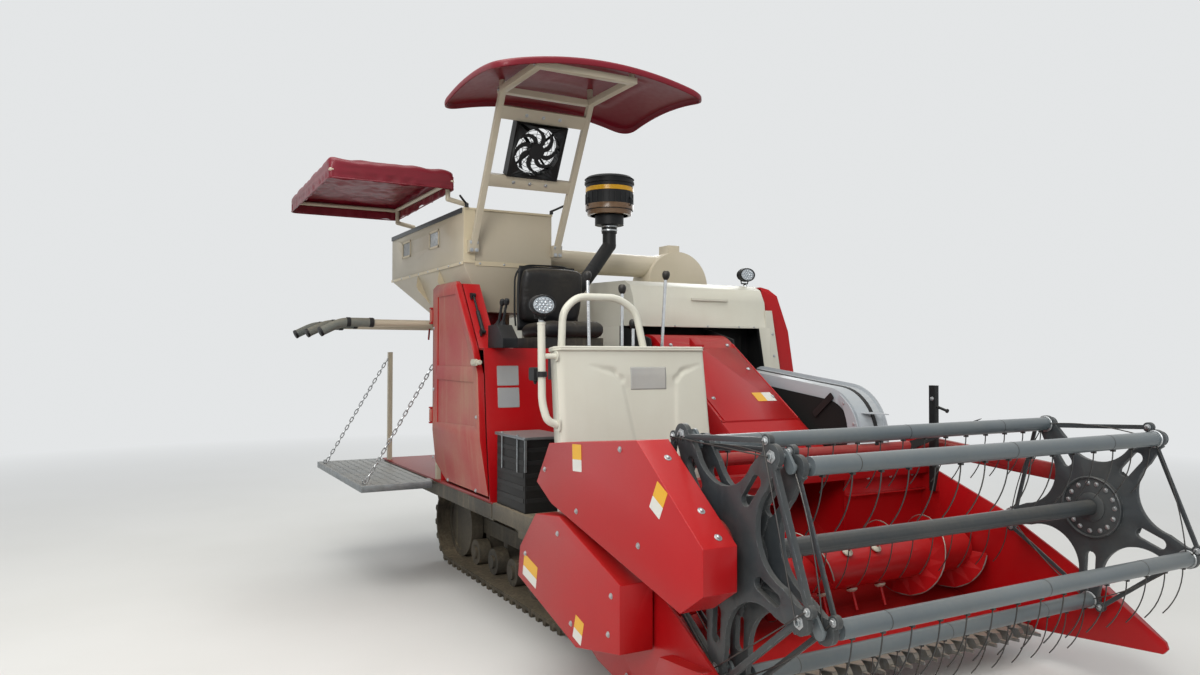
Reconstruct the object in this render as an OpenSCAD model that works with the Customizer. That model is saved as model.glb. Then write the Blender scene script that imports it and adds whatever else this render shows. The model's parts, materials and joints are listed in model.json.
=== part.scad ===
// Tracked rice combine harvester with a full-width header, a grain tank and a bagging platform.
// The machine drives along +X, its left side is +Y, and its track lugs stand on z = 0.
// Lengths are in millimetres and angles in degrees.

/* [Tracks] */
// Distance between the middles of the two tracks
track_gauge = 1100; // [1060:10:1160]
// Width of one rubber track
track_w = 450; // [400:10:460]
// Thickness of the rubber belt between its lugs
belt_t = 20; // [15:1:25]
// Height of one lug
lug_h = 25; // [15:1:30]
// Distance between two lugs along the belt
lug_pitch = 90; // [80:5:120]
// Centre of the rear idler along x
idler_x = -1520; // [-1600:10:-1450]
// Radius of the belt's outside round the rear idler
idler_r = 240; // [220:5:250]
// Centre of the drive sprocket along x
sprocket_x = 420; // [380:10:440]
// Radius of the belt's outside round the drive sprocket
sprocket_r = 165; // [155:5:175]
// Centre of the front bottom roller along x
front_roller_x = 160; // [120:10:180]
// Radius of the bottom rollers
roller_r = 80; // [70:1:85]

/* [Chassis] */
// Bottom of the chassis beams above the ground
beam_z = 560; // [550:5:580]
// Depth of the chassis beams
beam_h = 80; // [60:5:90]
// Distance of each main beam from the middle of the machine
beam_y = 270; // [250:5:280]
// Width of every chassis beam
beam_w = 80; // [60:5:80]
// Thickness of the deck plates
deck_t = 12; // [8:1:16]

/* [Header] */
// Inside width of the header between its end walls
header_w = 2060; // [2060:10:2100]
// Thickness of the header's sheets and end walls
header_t = 12; // [8:1:14]
// Height of the header's back wall
back_top_z = 830; // [810:5:840]
// Distance of the header's back wall from the origin along x
back_x = 860; // [840:5:870]
// Centre of the auger along x
auger_x = 1100; // [1090:5:1105]
// Centre of the auger above the ground
auger_z = 430; // [425:5:435]
// Radius of the auger's tube
auger_tube_r = 100; // [80:5:110]
// Radius of the auger's flights
auger_r = 185; // [170:5:185]
// Pitch of the auger's flights
flight_pitch = 300; // [260:10:340]
// Radius of the trough that the auger runs in
trough_r = 215; // [210:5:220]
// Height of the knife above the ground
knife_z = 158; // [150:1:160]
// Spacing of the knife guards
guard_pitch = 76; // [70:1:90]

/* [Feeder house] */
// Pivot of the feeder house along x
pivot_x = -200; // [-210:5:-190]
// Pivot of the feeder house above the ground
pivot_z = 1344; // [1340:1:1350]
// Depth of the feeder house
feeder_d = 360; // [340:5:370]
// Slope of the feeder house below level
feeder_slope = 35; // [34:0.5:36]
// Right side of the feeder house
feeder_y0 = -20; // [-20:5:0]
// Left side of the feeder house
feeder_y1 = 500; // [480:5:505]

/* [Reel] */
// Centre of the reel along x
reel_x = 1850; // [1840:5:1900]
// Centre of the reel above the ground
reel_z = 760; // [755:5:800]
// Radius from the reel's centre to its tine tubes
reel_r = 403; // [390:1:405]
// Number of tine tubes
tine_tubes = 5; // [4:1:6]
// Turn of the whole reel as it stands in the photograph
reel_phase = -3.3; // [-10:0.1:10]
// Radius of one tine tube
tube_r = 30; // [24:1:32]
// Spacing of the tines along a tube
tine_pitch = 125; // [100:5:160]
// Radius of the curve of a tine
tine_r = 300; // [280:5:340]
// Angle that a tine curves through
tine_turn = 42; // [36:1:44]
// Thickness of a tine
tine_t = 6; // [5:0.5:8]
// Thickness of the reel's end plates
spider_t = 20; // [14:1:22]
// How far the tine control ring sits behind the reel's centre
ring_back = 22; // [15:1:30]
// How far the tine control ring sits above the reel's centre
ring_up = 34; // [25:1:40]

/* [Operator's place] */
// Height of the front panel
panel_h = 790; // [760:10:800]
// Width of the front panel
panel_w = 800; // [780:10:810]
// Lean of the front panel to the rear
panel_lean = 6.5; // [4:0.5:8]
// Radius of the handrail tube
rail_r = 17; // [14:1:20]
// Radius of a work lamp
lamp_r = 62; // [50:1:70]

/* [Grain tank] */
// Length of the grain tank
tank_l = 1500; // [1400:10:1520]
// Width of the grain tank
tank_w = 560; // [520:10:570]
// Height of the seam between the tank and its hopper
tank_seam_z = 1930; // [1900:10:1950]
// Height of the tank's top edge
tank_top_z = 2250; // [2200:10:2280]
// Height of the hopper's floor
hopper_z = 1650; // [1640:10:1680]
// Thickness of the tank's walls
tank_t = 10; // [8:1:14]

/* [Canopy and awning] */
// Height of the canopy's crown
canopy_z = 2910; // [2900:5:2960]
// Radius of the canopy's domed surface
canopy_r = 2100; // [2000:10:2300]
// Length of the canopy along x
canopy_l = 850; // [820:10:900]
// Width of the canopy along y
canopy_w = 1200; // [1180:10:1240]
// Thickness of the canopy's shell
canopy_t = 8; // [6:1:12]
// Length of the awning along x
awning_l = 1190; // [1100:10:1200]
// Width of the awning along y
awning_w = 700; // [660:10:720]
// Height of the awning's top
awning_z = 2450; // [2430:5:2470]
// Depth of the awning's hanging edge
valance = 120; // [100:5:130]
// Diameter of the cooling fan
fan_d = 270; // [240:5:280]
// Number of fan blades
fan_blades = 8; // [5:1:9]

/* [Bagging platform] */
// Length of the platform along x
platform_l = 1430; // [1300:10:1450]
// Width of the platform
platform_w = 420; // [380:10:440]
// Height of the platform's top
platform_z = 650; // [640:5:660]

/* [Hidden] */
$fn = 48;
// Clearance of a seat or a running fit
run_gap = 0.3;
// Clearance between a moving piece and what it passes
clear = 6;
// Overshoot that lets a cut pass right through
eps = 1;

cream = "#d9d3bf";
red = "#b3121d";
dark_red = "#7d0d16";
charcoal = "#33373b";
steel = "#8d9194";
rubber = "#1c1c1c";
grey = "#9aa0a3";

// Outermost planes of the machine, which also place it over its origin
rear_x = -2420;
left_y = 1150;
awning_y = -1070;
right_y = awning_y - awning_w;

// Rounds out of three sides: upright() extrudes an x-z outline along y, across() a y-z outline along x
module upright(y0, y1) translate([0, y1, 0]) rotate([90, 0, 0]) linear_extrude(y1 - y0) children();
module across(x0, x1) translate([x0, 0, 0]) rotate([90, 0, 90]) linear_extrude(x1 - x0) children();
module box(x0, x1, y0, y1, z0, z1) translate([x0, y0, z0]) cube([x1 - x0, y1 - y0, z1 - z0]);
module axle(x, z, y0, y1, r) translate([x, y1, z]) rotate([90, 0, 0]) cylinder(h = y1 - y0, r = r);
module rod(a, b, r) {
    d = b - a;
    translate(a) rotate([0, acos(d.z / norm(d)), atan2(d.y, d.x)]) cylinder(h = norm(d), r = r);
}
// A bent tube through a list of points, with a ball in each bend
module pipe(points, r) {
    for (i = [0 : len(points) - 2]) rod(points[i], points[i + 1], r);
    if (len(points) > 2) for (i = [1 : len(points) - 2]) translate(points[i]) sphere(r = r * 1.03);
}
function unit(v) = v / norm(v);
// The outline p, listed counterclockwise, moved inwards by d on every side
function inset(p, d) = [for (i = [0 : len(p) - 1])
    let (u = unit(p[i] - p[(i + len(p) - 1) % len(p)]), v = unit(p[(i + 1) % len(p)] - p[i]),
        n = [-u.y, u.x], m = [-v.y, v.x]) p[i] + d * (n + m) / (1 + n * m)];
// A sheet housing: an outline extruded along y, hollow, and open on its +Y side
module open_shell(outline, y0, y1, t) difference() {
    upright(y0, y1) polygon(outline);
    upright(y0 + t, y1 + eps) polygon(inset(outline, t));
}

// Track loop: the wheels that bend it, as [x, z, radius], counterclockwise seen from the right side
sprocket_z = lug_h + 2 * idler_r - sprocket_r;
loop = [[idler_x, lug_h + idler_r, idler_r], [front_roller_x, lug_h + roller_r + belt_t, roller_r + belt_t],
    [sprocket_x, sprocket_z, sprocket_r]];
function hub(i) = [loop[i % 3].x, loop[i % 3].y];
function rad(i) = loop[i % 3].z;
// Direction that faces outwards from the straight run between wheel i and the next one
function out_angle(i) = let (d = hub(i + 1) - hub(i))
    atan2(d.y, d.x) - 90 + asin((rad(i) - rad(i + 1)) / norm(d));
function out_dir(i) = [cos(out_angle(i)), sin(out_angle(i))];
function run_start(i, grow) = hub(i) + (rad(i) + grow) * out_dir(i);
function run_end(i, grow) = hub(i + 1) + (rad(i + 1) + grow) * out_dir(i);
function arc_angle(i) = (out_angle(i) - out_angle(i + 2) + 720) % 360;
module loop_area(grow) {
    for (i = [0 : 2]) translate(hub(i)) circle(r = rad(i) + grow);
    polygon([for (i = [0 : 2]) each [run_start(i, grow), run_end(i, grow)]]);
}
// One row of lugs round the loop, base at distance off from the belt's outside, height h
module lug_row(phase, off, h, base, tip) for (i = [0 : 2]) {
    run = norm(run_end(i, 0) - run_start(i, 0));
    n = round(run / lug_pitch);
    arc = rad(i) * arc_angle(i) * PI / 180;
    m = round(arc / lug_pitch);
    if (n > 0) for (k = [0 : n - 1])
        translate(run_start(i, 0) + (run_end(i, 0) - run_start(i, 0)) * (k + phase) / n)
            rotate(out_angle(i)) lug_profile(off, h, base, tip);
    if (m > 0) for (k = [0 : m - 1])
        translate(hub(i)) rotate(out_angle(i + 2) + arc_angle(i) * (k + phase) / m)
            translate([rad(i), 0]) lug_profile(off, sqrt((rad(i) + h) ^ 2 - (tip / 2) ^ 2) - rad(i),
                base, tip);
}
module lug_profile(off, h, base, tip)
    polygon([[off - sign(h) * eps, -base / 2], [off + h, -tip / 2], [off + h, tip / 2],
        [off - sign(h) * eps, base / 2]]);

module track(side) color(rubber) {
    y0 = side * track_gauge / 2 - track_w / 2;
    upright(y0, y0 + track_w) difference() {
        loop_area(0);
        loop_area(-belt_t);
    }
    // Lugs reach from each edge past the middle, in turn
    upright(y0, y0 + track_w * 0.48) lug_row(0.25, 0, lug_h, 46, 30);
    upright(y0 + track_w * 0.52, y0 + track_w) lug_row(0.75, 0, lug_h, 46, 30);
}
module track_right() track(-1);
module track_left() track(1);

// Rollers under the track beam, as their places along x
rollers_x = [for (i = [0 : 4]) idler_x + 290 + i * 300];
roller_z = lug_h + belt_t + roller_r;
track_beam_z = 230;
track_beam_h = 100;
carrier_r = 55;
module wheel(x, z, r, y) {
    for (s = [-1, 1]) axle(x, z, y + s * 95 - 40, y + s * 95 + 40, r - run_gap);
    axle(x, z, y - 150, y + 150, r * 0.5);
}
module undercarriage(side) color(charcoal) {
    y = side * track_gauge / 2;
    // Track beam with its rear tensioner fork and front nose
    box(idler_x + 150, front_roller_x + 20, y - 50, y + 50, track_beam_z, track_beam_z + track_beam_h);
    difference() {
        union() {
            for (x = concat(rollers_x, [front_roller_x])) wheel(x, roller_z, roller_r, y);
            wheel(idler_x, lug_h + idler_r, idler_r - belt_t, y);
            wheel(-550, lug_h + 2 * idler_r - belt_t - carrier_r, carrier_r, y);
        }
        // Hollow faces of the idler
        for (s = [-1, 1]) axle(idler_x, lug_h + idler_r, y + s * 150 - 25, y + s * 150 + 25, idler_r - 60);
    }
    for (x = concat(rollers_x, [front_roller_x]))
        box(x - 30, x + 30, y - 50, y + 50, roller_z, track_beam_z + 1);
    box(-575, -525, y - 50, y + 50, track_beam_z + track_beam_h - 1,
        lug_h + 2 * idler_r - belt_t - carrier_r);
    box(idler_x - 20, idler_x + 160, y - 50, y + 50, lug_h + idler_r - 30, lug_h + idler_r + 30);
    // Drive sprocket: two toothed plates on a hub that meets the axle housing
    for (s = [-1, 1]) upright(y + s * 70 - 12, y + s * 70 + 12) difference() {
        translate([sprocket_x, sprocket_z]) sprocket_profile(sprocket_r - belt_t - run_gap);
        translate([sprocket_x, sprocket_z]) for (k = [0 : 4]) rotate(72 * k) translate([76, 0])
            circle(r = 20);
    }
    axle(sprocket_x, sprocket_z, y - 90, y + 90, 50);
}
module sprocket_profile(r) {
    circle(r = r - 24);
    for (k = [0 : 10]) rotate(k * 360 / 11)
        polygon([[r - 30, -24], [r - 2, -10], [r - 2, 10], [r - 30, 24]]);
}
module undercarriage_right() undercarriage(-1);
module undercarriage_left() undercarriage(1);

// Chassis: two main beams, four outriggers and the cross tubes that carry the track beams
deck_z = beam_z + beam_h;
main_rear_x = -2200;
front_cross_x = 240;
tow_eye = [-2240, 600];
tow_eye_r = 16;
module chassis_frame() color(charcoal) {
    box(main_rear_x, 760, -beam_y - beam_w / 2, -beam_y + beam_w / 2, beam_z, deck_z);
    box(main_rear_x, front_cross_x + beam_w / 2, beam_y - beam_w / 2, beam_y + beam_w / 2, beam_z, deck_z);
    for (x = [-2110, -1300, -500, front_cross_x])
        box(x - beam_w / 2, x + beam_w / 2, -1000, 940, beam_z, deck_z);
    // Side beam under the bagging station and the engine
    box(min(main_rear_x, platform_x0), -40, -1040, -1000, beam_z, deck_z);
    for (x = [-1150, -250]) {
        box(x - 40, x + 40, -track_gauge / 2 + 50, track_gauge / 2 - 50, track_beam_z + 10,
            track_beam_z + 90);
        for (s = [-1, 1]) box(x - 40, x + 40, s * beam_y - 35, s * beam_y + 35, track_beam_z + 80,
            beam_z + 1);
    }
    // Pins and ears of the folding platform
    for (x = folds_x) {
        axle_x(x - 12, x + 92, fold_y, fold_z, 8 - run_gap);
        for (dx = [-14, 84]) box(x + dx, x + dx + 10, fold_y - 10, -1039, fold_z - 10, deck_z - 1);
    }
    // Tow eye behind the rear cross beam
    difference() {
        upright(-12, 12) {
            translate(tow_eye) circle(r = 38);
            translate([tow_eye.x, tow_eye.y - 38]) square([110, 76]);
        }
        axle(tow_eye.x, tow_eye.y, -13, 13, tow_eye_r);
    }
    // Bracket of the lift cylinder
    for (s = [-1, 1]) box(lift_base.x - 40, lift_base.x + 40, lift_y + s * 41 - 8, lift_y + s * 41 + 8,
        lift_base.y - 40, beam_z + 1);
    axle(lift_base.x, lift_base.y, lift_y - 48, lift_y + 48, lift_pin - run_gap);
}

gearbox_y = 160;
module gearbox() color("#4a4d50") {
    upright(-gearbox_y, gearbox_y) polygon([[240, 300], [300, 215], [500, 215], [540, 300], [540, 400],
        [470, 470], [240, 470]]);
    for (s = [-1, 1]) axle(sprocket_x, sprocket_z, s > 0 ? gearbox_y - 1 : -track_gauge / 2 + 90,
        s > 0 ? track_gauge / 2 - 90 : -gearbox_y + 1, 55);
    box(front_cross_x - 30, front_cross_x + 30, -110, 110, 460, beam_z);
    axle(300, 520 - 50, -240, -150, 60);
}

// Engine bay on the right, under the seat: its side outline leans back as it rises
bay_x0 = -850;
bay_y0 = -1050;
bay_y1 = -310;
bay_top = 1440;
bay_floor = deck_z + deck_t;
sheet = 10;
bay_side = [[bay_x0, bay_floor], [-60, bay_floor], [-110, 1000], [-140, 1300], [-160, bay_top], [bay_x0,
    bay_top]];
screen_side = [[bay_x0, bay_top], [-225, bay_top], [-490, 1800], [bay_x0, 1800]];
screen_d = 100;
module engine_block() color("#50565a") {
    box(-760, -200, -900, -400, bay_floor + sheet + run_gap, 1180);
    box(-700, -300, -850, -450, 1180 - eps, 1300);
}
module engine_housing() color(dark_red) {
    // Deck under the engine and the thresher's right side
    box(main_rear_x, -60, -1040, bay_y1, deck_z, bay_floor);
    // The bay is open to the right, behind the engine door
    difference() {
        upright(bay_y0, bay_y1) polygon(bay_side);
        upright(bay_y0 - eps, bay_y1 - sheet) polygon(inset(bay_side, sheet));
    }
    difference() {
        upright(bay_y0, bay_y0 + screen_d) polygon(screen_side);
        upright(bay_y0 - eps, bay_y0 + screen_d - sheet) polygon(inset(screen_side, sheet));
    }
    // Hinge brackets and pins of the engine door
    for (z = hinge_z) {
        for (dz = [-14, hinge_l + 4]) translate([0, 0, z + dz]) linear_extrude(10)
            polygon([[bay_x0 + 1, -1040], [bay_x0 + 1, bay_y0], [hinge_x + 8, bay_y0], [hinge_x + 8,
                hinge_y - 12],
                [hinge_x - 14, hinge_y - 12], [hinge_x - 14, -1040]]);
        translate([hinge_x, hinge_y, z - 10]) cylinder(h = hinge_l + 20, r = hinge_r - run_gap);
    }
}

door_in = bay_y0 - clear;
door_out = door_in - 34;
hinge_x = -902;
hinge_y = door_out - 2;
hinge_r = 8;
hinge_l = 70;
hinge_z = [1010, 1600];
door_side = [[-888, 770], [-720, 680], [-64, 680], [-112, 1000], [-142, 1300], [-225, 1440], [-490, 1800],
    [-520, 1815], [-860, 1815], [-888, 1790]];
// Two recessed panels in the door's skin
door_panels = [[[-800, 1340], [-255, 1340], [-300, 1460], [-500, 1740], [-800, 1740]],
    [[-800, 1010], [-190, 1030], [-205, 1260], [-800, 1260]]];
module engine_door() color(red) {
    difference() {
        intersection() {
            upright(door_out, door_in) polygon(door_side);
            // Skin that rolls over at the top and tucks in at the bottom
            across(-890, -60) polygon([[door_in, 1815], [door_out + 14, 1815], [door_out, 1790],
                [door_out, 960], [door_in - 4, 680], [door_in, 680]]);
        }
        for (p = door_panels) upright(door_out - eps, door_out + 6) polygon(p);
    }
    for (z = hinge_z) {
        difference() {
            translate([hinge_x, hinge_y, z]) cylinder(h = hinge_l, r = hinge_r + 5);
            translate([hinge_x, hinge_y, z - eps]) cylinder(h = hinge_l + 2 * eps, r = hinge_r);
        }
        box(hinge_x + hinge_r + 3, -880, hinge_y - 4, hinge_y + 4, z, z + hinge_l);
    }
    // Latch handle on the front edge
    box(-190, -110, door_out - 14, door_out + 1, 1350, 1380);
}

// Operator's place: floor, steps, battery box and front panel
floor_x1 = 760;
module operator_floor() color(charcoal) {
    box(-39, floor_x1, -1046, -250, deck_z, bay_floor);
    // Side skirt under the floor's edge, the two steps and a bracket
    box(-39, floor_x1, -1046, -1036, deck_z - 70, deck_z + eps);
    box(290, 560, -1046, -1036, deck_z - 104, deck_z - 69);
    box(290, 560, -1046, -806, deck_z - 104, deck_z - 86);
    box(-400, -60, -1046, -1040 - run_gap, deck_z - 70, deck_z);
}
module battery_box() color("#2f3336") {
    box(-20, 330, -1030, -800, bay_floor, 1000);
    box(-30, 340, -1040, -790, 1000, 1012);
}

panel_y0 = -1045;
panel_x = 790;
panel_t = 10;
panel_depth = 70;
module leaning() translate([panel_x, 0, bay_floor + run_gap + panel_depth * sin(panel_lean)])
    rotate([0, -panel_lean, 0]) children();
module front_panel() color(cream) leaning() {
    // Tub with side flanges, a rolled lip along the top, and two shallow dents beside a centre crease
    difference() {
        across(-panel_depth, 0) polygon([[panel_y0, 0], [panel_y0 + panel_w, 0],
            [panel_y0 + panel_w - 20, panel_h],
            [panel_y0, panel_h]]);
        across(-panel_depth - eps, -panel_t) polygon([[panel_y0 + panel_t, -eps],
            [panel_y0 + panel_w - panel_t, -eps], [panel_y0 + panel_w - 20 - panel_t, panel_h + eps],
            [panel_y0 + panel_t, panel_h + eps]]);
        across(-4, eps) polygon([[panel_y0 + 250, 0], [panel_y0 + 520, 0], [panel_y0 + 550, 640],
            [panel_y0 + 500, 560], [panel_y0 + 440, 300], [panel_y0 + 300, 560], [panel_y0 + 250, 640]]);
    }
    box(-22, 12, panel_y0 - 8, panel_y0 + panel_w - 12, panel_h - 22, panel_h);
}

rail_y = -1115;
module handrails() color(cream) {
    // Grab rail beside the panel, with the post of the work lamp on top
    pipe([[690, rail_y, 1545], [700, rail_y, 1210], [716, rail_y + 19, 1130], [720, rail_y + 59, 1104]],
        rail_r);
    box(700, 738, panel_y0 - 13, panel_y0 - run_gap, 1078, 1124);
    rod([695, rail_y, 1400], [700, panel_y0 - 1, 1400], 12);
    // Arch over the right half of the panel
    pipe([[660, -1005, 1410], [650, -990, 1590], [640, -920, 1665], [630, -700, 1668], [635, -610, 1610],
        [660, -565, 1410]], rail_r);
    for (y = [-1005, -565]) box(655, 693, y - 18, y + 18, 1385, 1418);
}

module lamp(x, y, foot) {
    z = foot + lamp_r + 14 + run_gap;
    translate([x, y, z]) rotate([0, 90, 0]) {
        cylinder(h = 30, r = lamp_r);
        translate([0, 0, -30]) cylinder(h = 31, r1 = lamp_r * 0.6, r2 = lamp_r * 0.95);
    }
    rod([x, y, z - lamp_r - 14], [x, y, z - lamp_r + 6], 9);
}
module work_lamps() color("#26282b") {
    lamp(690, rail_y, 1545);
    lamp(-390, 850, 1851);
}

seat_x = -330;
seat_y = -525;
module seat_base() color(charcoal) {
    box(seat_x - 180, seat_x + 170, seat_y - 190, seat_y + 190, bay_top, bay_top + 60);
    box(seat_x - 225, seat_x - 200, seat_y - 60, seat_y + 60, bay_top, bay_top + 200);
    box(seat_x - 225, seat_x - 170, seat_y - 190, seat_y + 190, bay_top, bay_top + 30);
}
module seat_cushion() color("#1b1d20") {
    // Seat pad and backrest of one moulded cushion each
    z0 = bay_top + 60 + run_gap;
    translate([seat_x - 170, seat_y - 215, z0]) cushion(400, 430, 90, 30);
    upright(seat_y - 215, seat_y + 215) polygon([[seat_x - 168, z0 + 60], [seat_x - 80, z0 + 60],
        [seat_x - 110, z0 + 380], [seat_x - 135, z0 + 425], [seat_x - 175, z0 + 430], [seat_x - 198,
            z0 + 390]]);
}
module cushion(l, w, h, r) hull() for (x = [r, l - r]) for (y = [r, w - r]) {
    translate([x, y, 0]) cylinder(h = h - r * 0.6, r = r, $fn = 24);
    translate([x, y, h - r]) sphere(r = r, $fn = 24);
}

// Levers as [x, y, foot z, top z, lean along x]
levers = [[430, -740, bay_floor, 1790, -20], [450, -570, bay_floor, 1730, 0], [470, -520, bay_floor,
    1560, 0],
    [400, -310, bay_floor, 1810, 40]];
module control_levers() color("#2a2c2e") {
    // Console behind the front panel
    box(420, 620, -960, -330, 1290, 1400);
    box(500, 540, -680, -600, bay_floor, 1291);
    for (l = levers) {
        rod([l.x, l.y, 1290], [l.x + l[4], l.y, l[3]], 8);
        translate([l.x, l.y, 1398]) cylinder(h = 50, r1 = 34, r2 = 14);
        translate([l.x + l[4], l.y, l[3]]) sphere(r = 20);
    }
}
module side_console() color("#202224") {
    upright(-1010, -925) polygon([[-205, bay_top], [0, bay_top], [0, 1490], [-80, 1560], [-205, 1560]]);
    for (x = [-170, -110]) rod([x, -968, 1550], [x + 60, -968, 1680], 7);
}

// Thresher on the left, with the hood over it, side covers and the rear hood
thresher_y0 = -80;
thresher_y1 = 900;
thresher_x1 = -420;
thresher_x0 = -2200;
hood_z = 1580;
hood_top_z = 1850;
hood_front = -240;
left_in = thresher_y1 + 46;
module thresher_body() color("#b9b4a4") {
    box(thresher_x0, thresher_x1, thresher_y0, thresher_y1, deck_z, hood_z);
    // Cheeks that carry the feeder's upper shaft
    for (y = [feeder_y0 - 30 - 12, feeder_y1 + 30]) difference() {
        upright(y, y + 12) polygon([[thresher_x1 - eps, 1140], [pivot_x + 90, 1200], [pivot_x + 130, 1344],
            [pivot_x + 90, 1500], [thresher_x1 - eps, hood_z]]);
    }
    axle(pivot_x, pivot_z, feeder_y0 - 31, feeder_y1 + 31, 25 - run_gap);
}
hood_side = [[thresher_x0, hood_z], [hood_front, hood_z], [hood_front - 20, 1740], [hood_front - 60, 1820],
    [hood_front - 120, hood_top_z], [-2080, 1900], [thresher_x0 - 40, 1830], [thresher_x0 - 40, hood_z]];
module thresher_hood() color(cream) {
    difference() {
        upright(thresher_y0, thresher_y1) polygon(hood_side);
        upright(thresher_y0 + sheet, thresher_y1 - sheet) polygon([[thresher_x1, hood_z - eps],
            [hood_front - 20, hood_z - eps], [hood_front - 40, 1730], [hood_front - 130, 1830],
            [thresher_x1, 1835]]);
    }
    // Left leg of the hood, which narrows as it comes down
    across(hood_front - 30, hood_front) polygon([[thresher_y1 - 60, hood_z + eps], [thresher_y1 + 10, 1180],
        [left_in - run_gap, 1180], [left_in - run_gap, hood_z + eps]]);
    box(thresher_x1 + run_gap, hood_front - 30 + eps, thresher_y1 - 12, thresher_y1, 1180, hood_z + eps);
}
cover_profile = [[left_in, 690], [left_y, 690], [left_y, 1190], [1085, 1560], [1030, 1790], [1000, 1835],
    [thresher_y1 + 46, 1850]];
module left_covers() color(red) {
    difference() {
        across(thresher_x0 + 40, hood_front - 5) polygon(cover_profile);
        across(thresher_x0 + 40 + sheet, hood_front - 5 - sheet)
            polygon([[left_in - eps, 700], [left_y - sheet, 700],
            [left_y - sheet, 1190], [1073, 1560], [1020, 1780], [left_in - eps, 1835]]);
        // Seams between the three covers
        for (x = [-1560, -900]) across(x - 3, x + 3) difference() {
            translate([left_in, 600]) square([400, 1400]);
            polygon(inset(cover_profile, 4));
        }
    }
}
module rear_hood() color(cream) {
    // Straw outlet, open at the back and below
    difference() {
        upright(thresher_y0, thresher_y1) polygon([[thresher_x0, 900], [rear_x, 760], [rear_x, 1420],
            [thresher_x0 - 40, hood_z], [thresher_x0, hood_z]]);
        upright(thresher_y0 + sheet, thresher_y1 - sheet)
            polygon([[thresher_x0 - sheet, 880], [rear_x - eps, 700],
            [rear_x - eps, 1300], [rear_x + 20, 1400], [thresher_x0 - 50, hood_z - 14],
                [thresher_x0 - sheet, hood_z - 14]]);
    }
}

elevator_x = -950;
module grain_elevator() color(cream) {
    // Half-round head on the hood, with its cap plate and the cross tube to the tank
    across(elevator_x - 110, elevator_x + 110) difference() {
        translate([630, 1871]) circle(r = 240);
        translate([0, 0]) square([1200, 1871]);
    }
    box(elevator_x - 60, elevator_x + 60, 580, 670, 2100, 2160);
    axle(elevator_x, 2010, tank_y1 + run_gap, 500, 75);
}

// Air intake: precleaner bowl on a pipe that comes up from the engine bay
stack_x = -620;
stack_y = -40;
module air_precleaner() color("#202326") {
    translate([stack_x, stack_y, 2275]) {
        cylinder(h = 30, r1 = 120, r2 = 135);
        translate([0, 0, 30]) cylinder(h = 200, r = 148);
        translate([0, 0, 195]) cylinder(h = 12, r = 156);
        translate([0, 0, 225]) cylinder(h = 14, r1 = 156, r2 = 140);
        translate([0, 0, -60]) cylinder(h = 61, r = 90);
        translate([0, 0, -110]) cylinder(h = 51, r = 48);
    }
    pipe([[stack_x, stack_y, 2170], [stack_x, stack_y, 2090], [stack_x, stack_y - 110, 1940],
        [stack_x, stack_y - 270, 1740], [stack_x, stack_y - 360, 1580], [stack_x, stack_y - 360,
            bay_top + run_gap]], 42);
}

// Grain tank with a hopper that tapers to its three outlets
tank_x1 = -620;
tank_x0 = tank_x1 - tank_l;
tank_y0 = -1000;
tank_y1 = tank_y0 + tank_w;
tank_side = [[tank_x0, tank_seam_z], [-1520, hopper_z], [tank_x1, hopper_z], [tank_x1, tank_top_z],
    [tank_x0, tank_top_z]];
tank_front = [[tank_y0, tank_seam_z], [tank_y0 + 130, hopper_z], [tank_y1, hopper_z], [tank_y1, tank_top_z],
    [tank_y0, tank_top_z]];
module grain_tank() color(cream) {
    difference() {
        intersection() {
            upright(tank_y0, tank_y1) polygon(tank_side);
            across(tank_x0, tank_x1) polygon(tank_front);
        }
        intersection() {
            upright(tank_y0 + tank_t, tank_y1 - tank_t) polygon(inset(tank_side, tank_t));
            across(tank_x0 + tank_t, tank_x1 - tank_t) polygon(inset(tank_front, tank_t));
        }
        // Open top inside a folded rim, and two sight windows
        box(tank_x0 + 40, tank_x1 - 40, tank_y0 + 40, tank_y1 - 40, tank_top_z - tank_t - eps,
            tank_top_z + eps);
        for (x = [-1840, -1240]) box(x, x + 170, tank_y0 - eps, tank_y0 + tank_t + eps, 2080, 2170);
    }
    // Legs down to the deck
    for (x = [-1480, -900]) for (y = [tank_y1 - 35, tank_y1 - 190])
        box(x - 25, x + 25, y - 25, y + 25, bay_floor, hopper_z + eps);
}
outlets_x = [-1450, -1150, -800];
module tank_outlets() color(dark_red) for (x = outlets_x) {
    difference() {
        box(x - 65, x + 65, tank_y0 + 140, tank_y0 + 300, hopper_z - 130, hopper_z);
        box(x - 55, x + 55, tank_y0 + 150, tank_y0 + 290, hopper_z - 130 - eps, hopper_z - 10);
    }
    box(x - 60, x + 60, tank_y0 + 60, tank_y0 + 141, hopper_z - 60, hopper_z - 52);
    rod([x, tank_y0 + 70, hopper_z - 56], [x, tank_y0 + 62, hopper_z - 150], 6);
}
rails_bag_x = [-1750, -1350, -950];
bag_rail_z = 1590;
module bag_rails() color(cream) {
    for (x = rails_bag_x) pipe([[x, tank_y0 + 310 - run_gap, bag_rail_z], [x, -1610, bag_rail_z], [x,
        -1730, bag_rail_z - 60]], 19);
    // Carrier under the hopper
    box(rails_bag_x[0] - 40, rails_bag_x[2] + 40, tank_y0 + 310, tank_y0 + 340, bag_rail_z - 30,
        bag_rail_z + 30);
    for (x = [rails_bag_x[0], rails_bag_x[2]])
        box(x - 20, x + 20, tank_y0 + 310, tank_y0 + 340, bay_floor, bag_rail_z);
    // Posts for the platform's chains
    for (x = chains_x) {
        box(x - 15, x + 15, -1036, -1006, bay_floor, chain_top.y + 60);
        box(x - 5, x + 5, chain_top.x + 12.2, -1030, chain_top.y - 3, chain_top.y + 40);
    }
}

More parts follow.
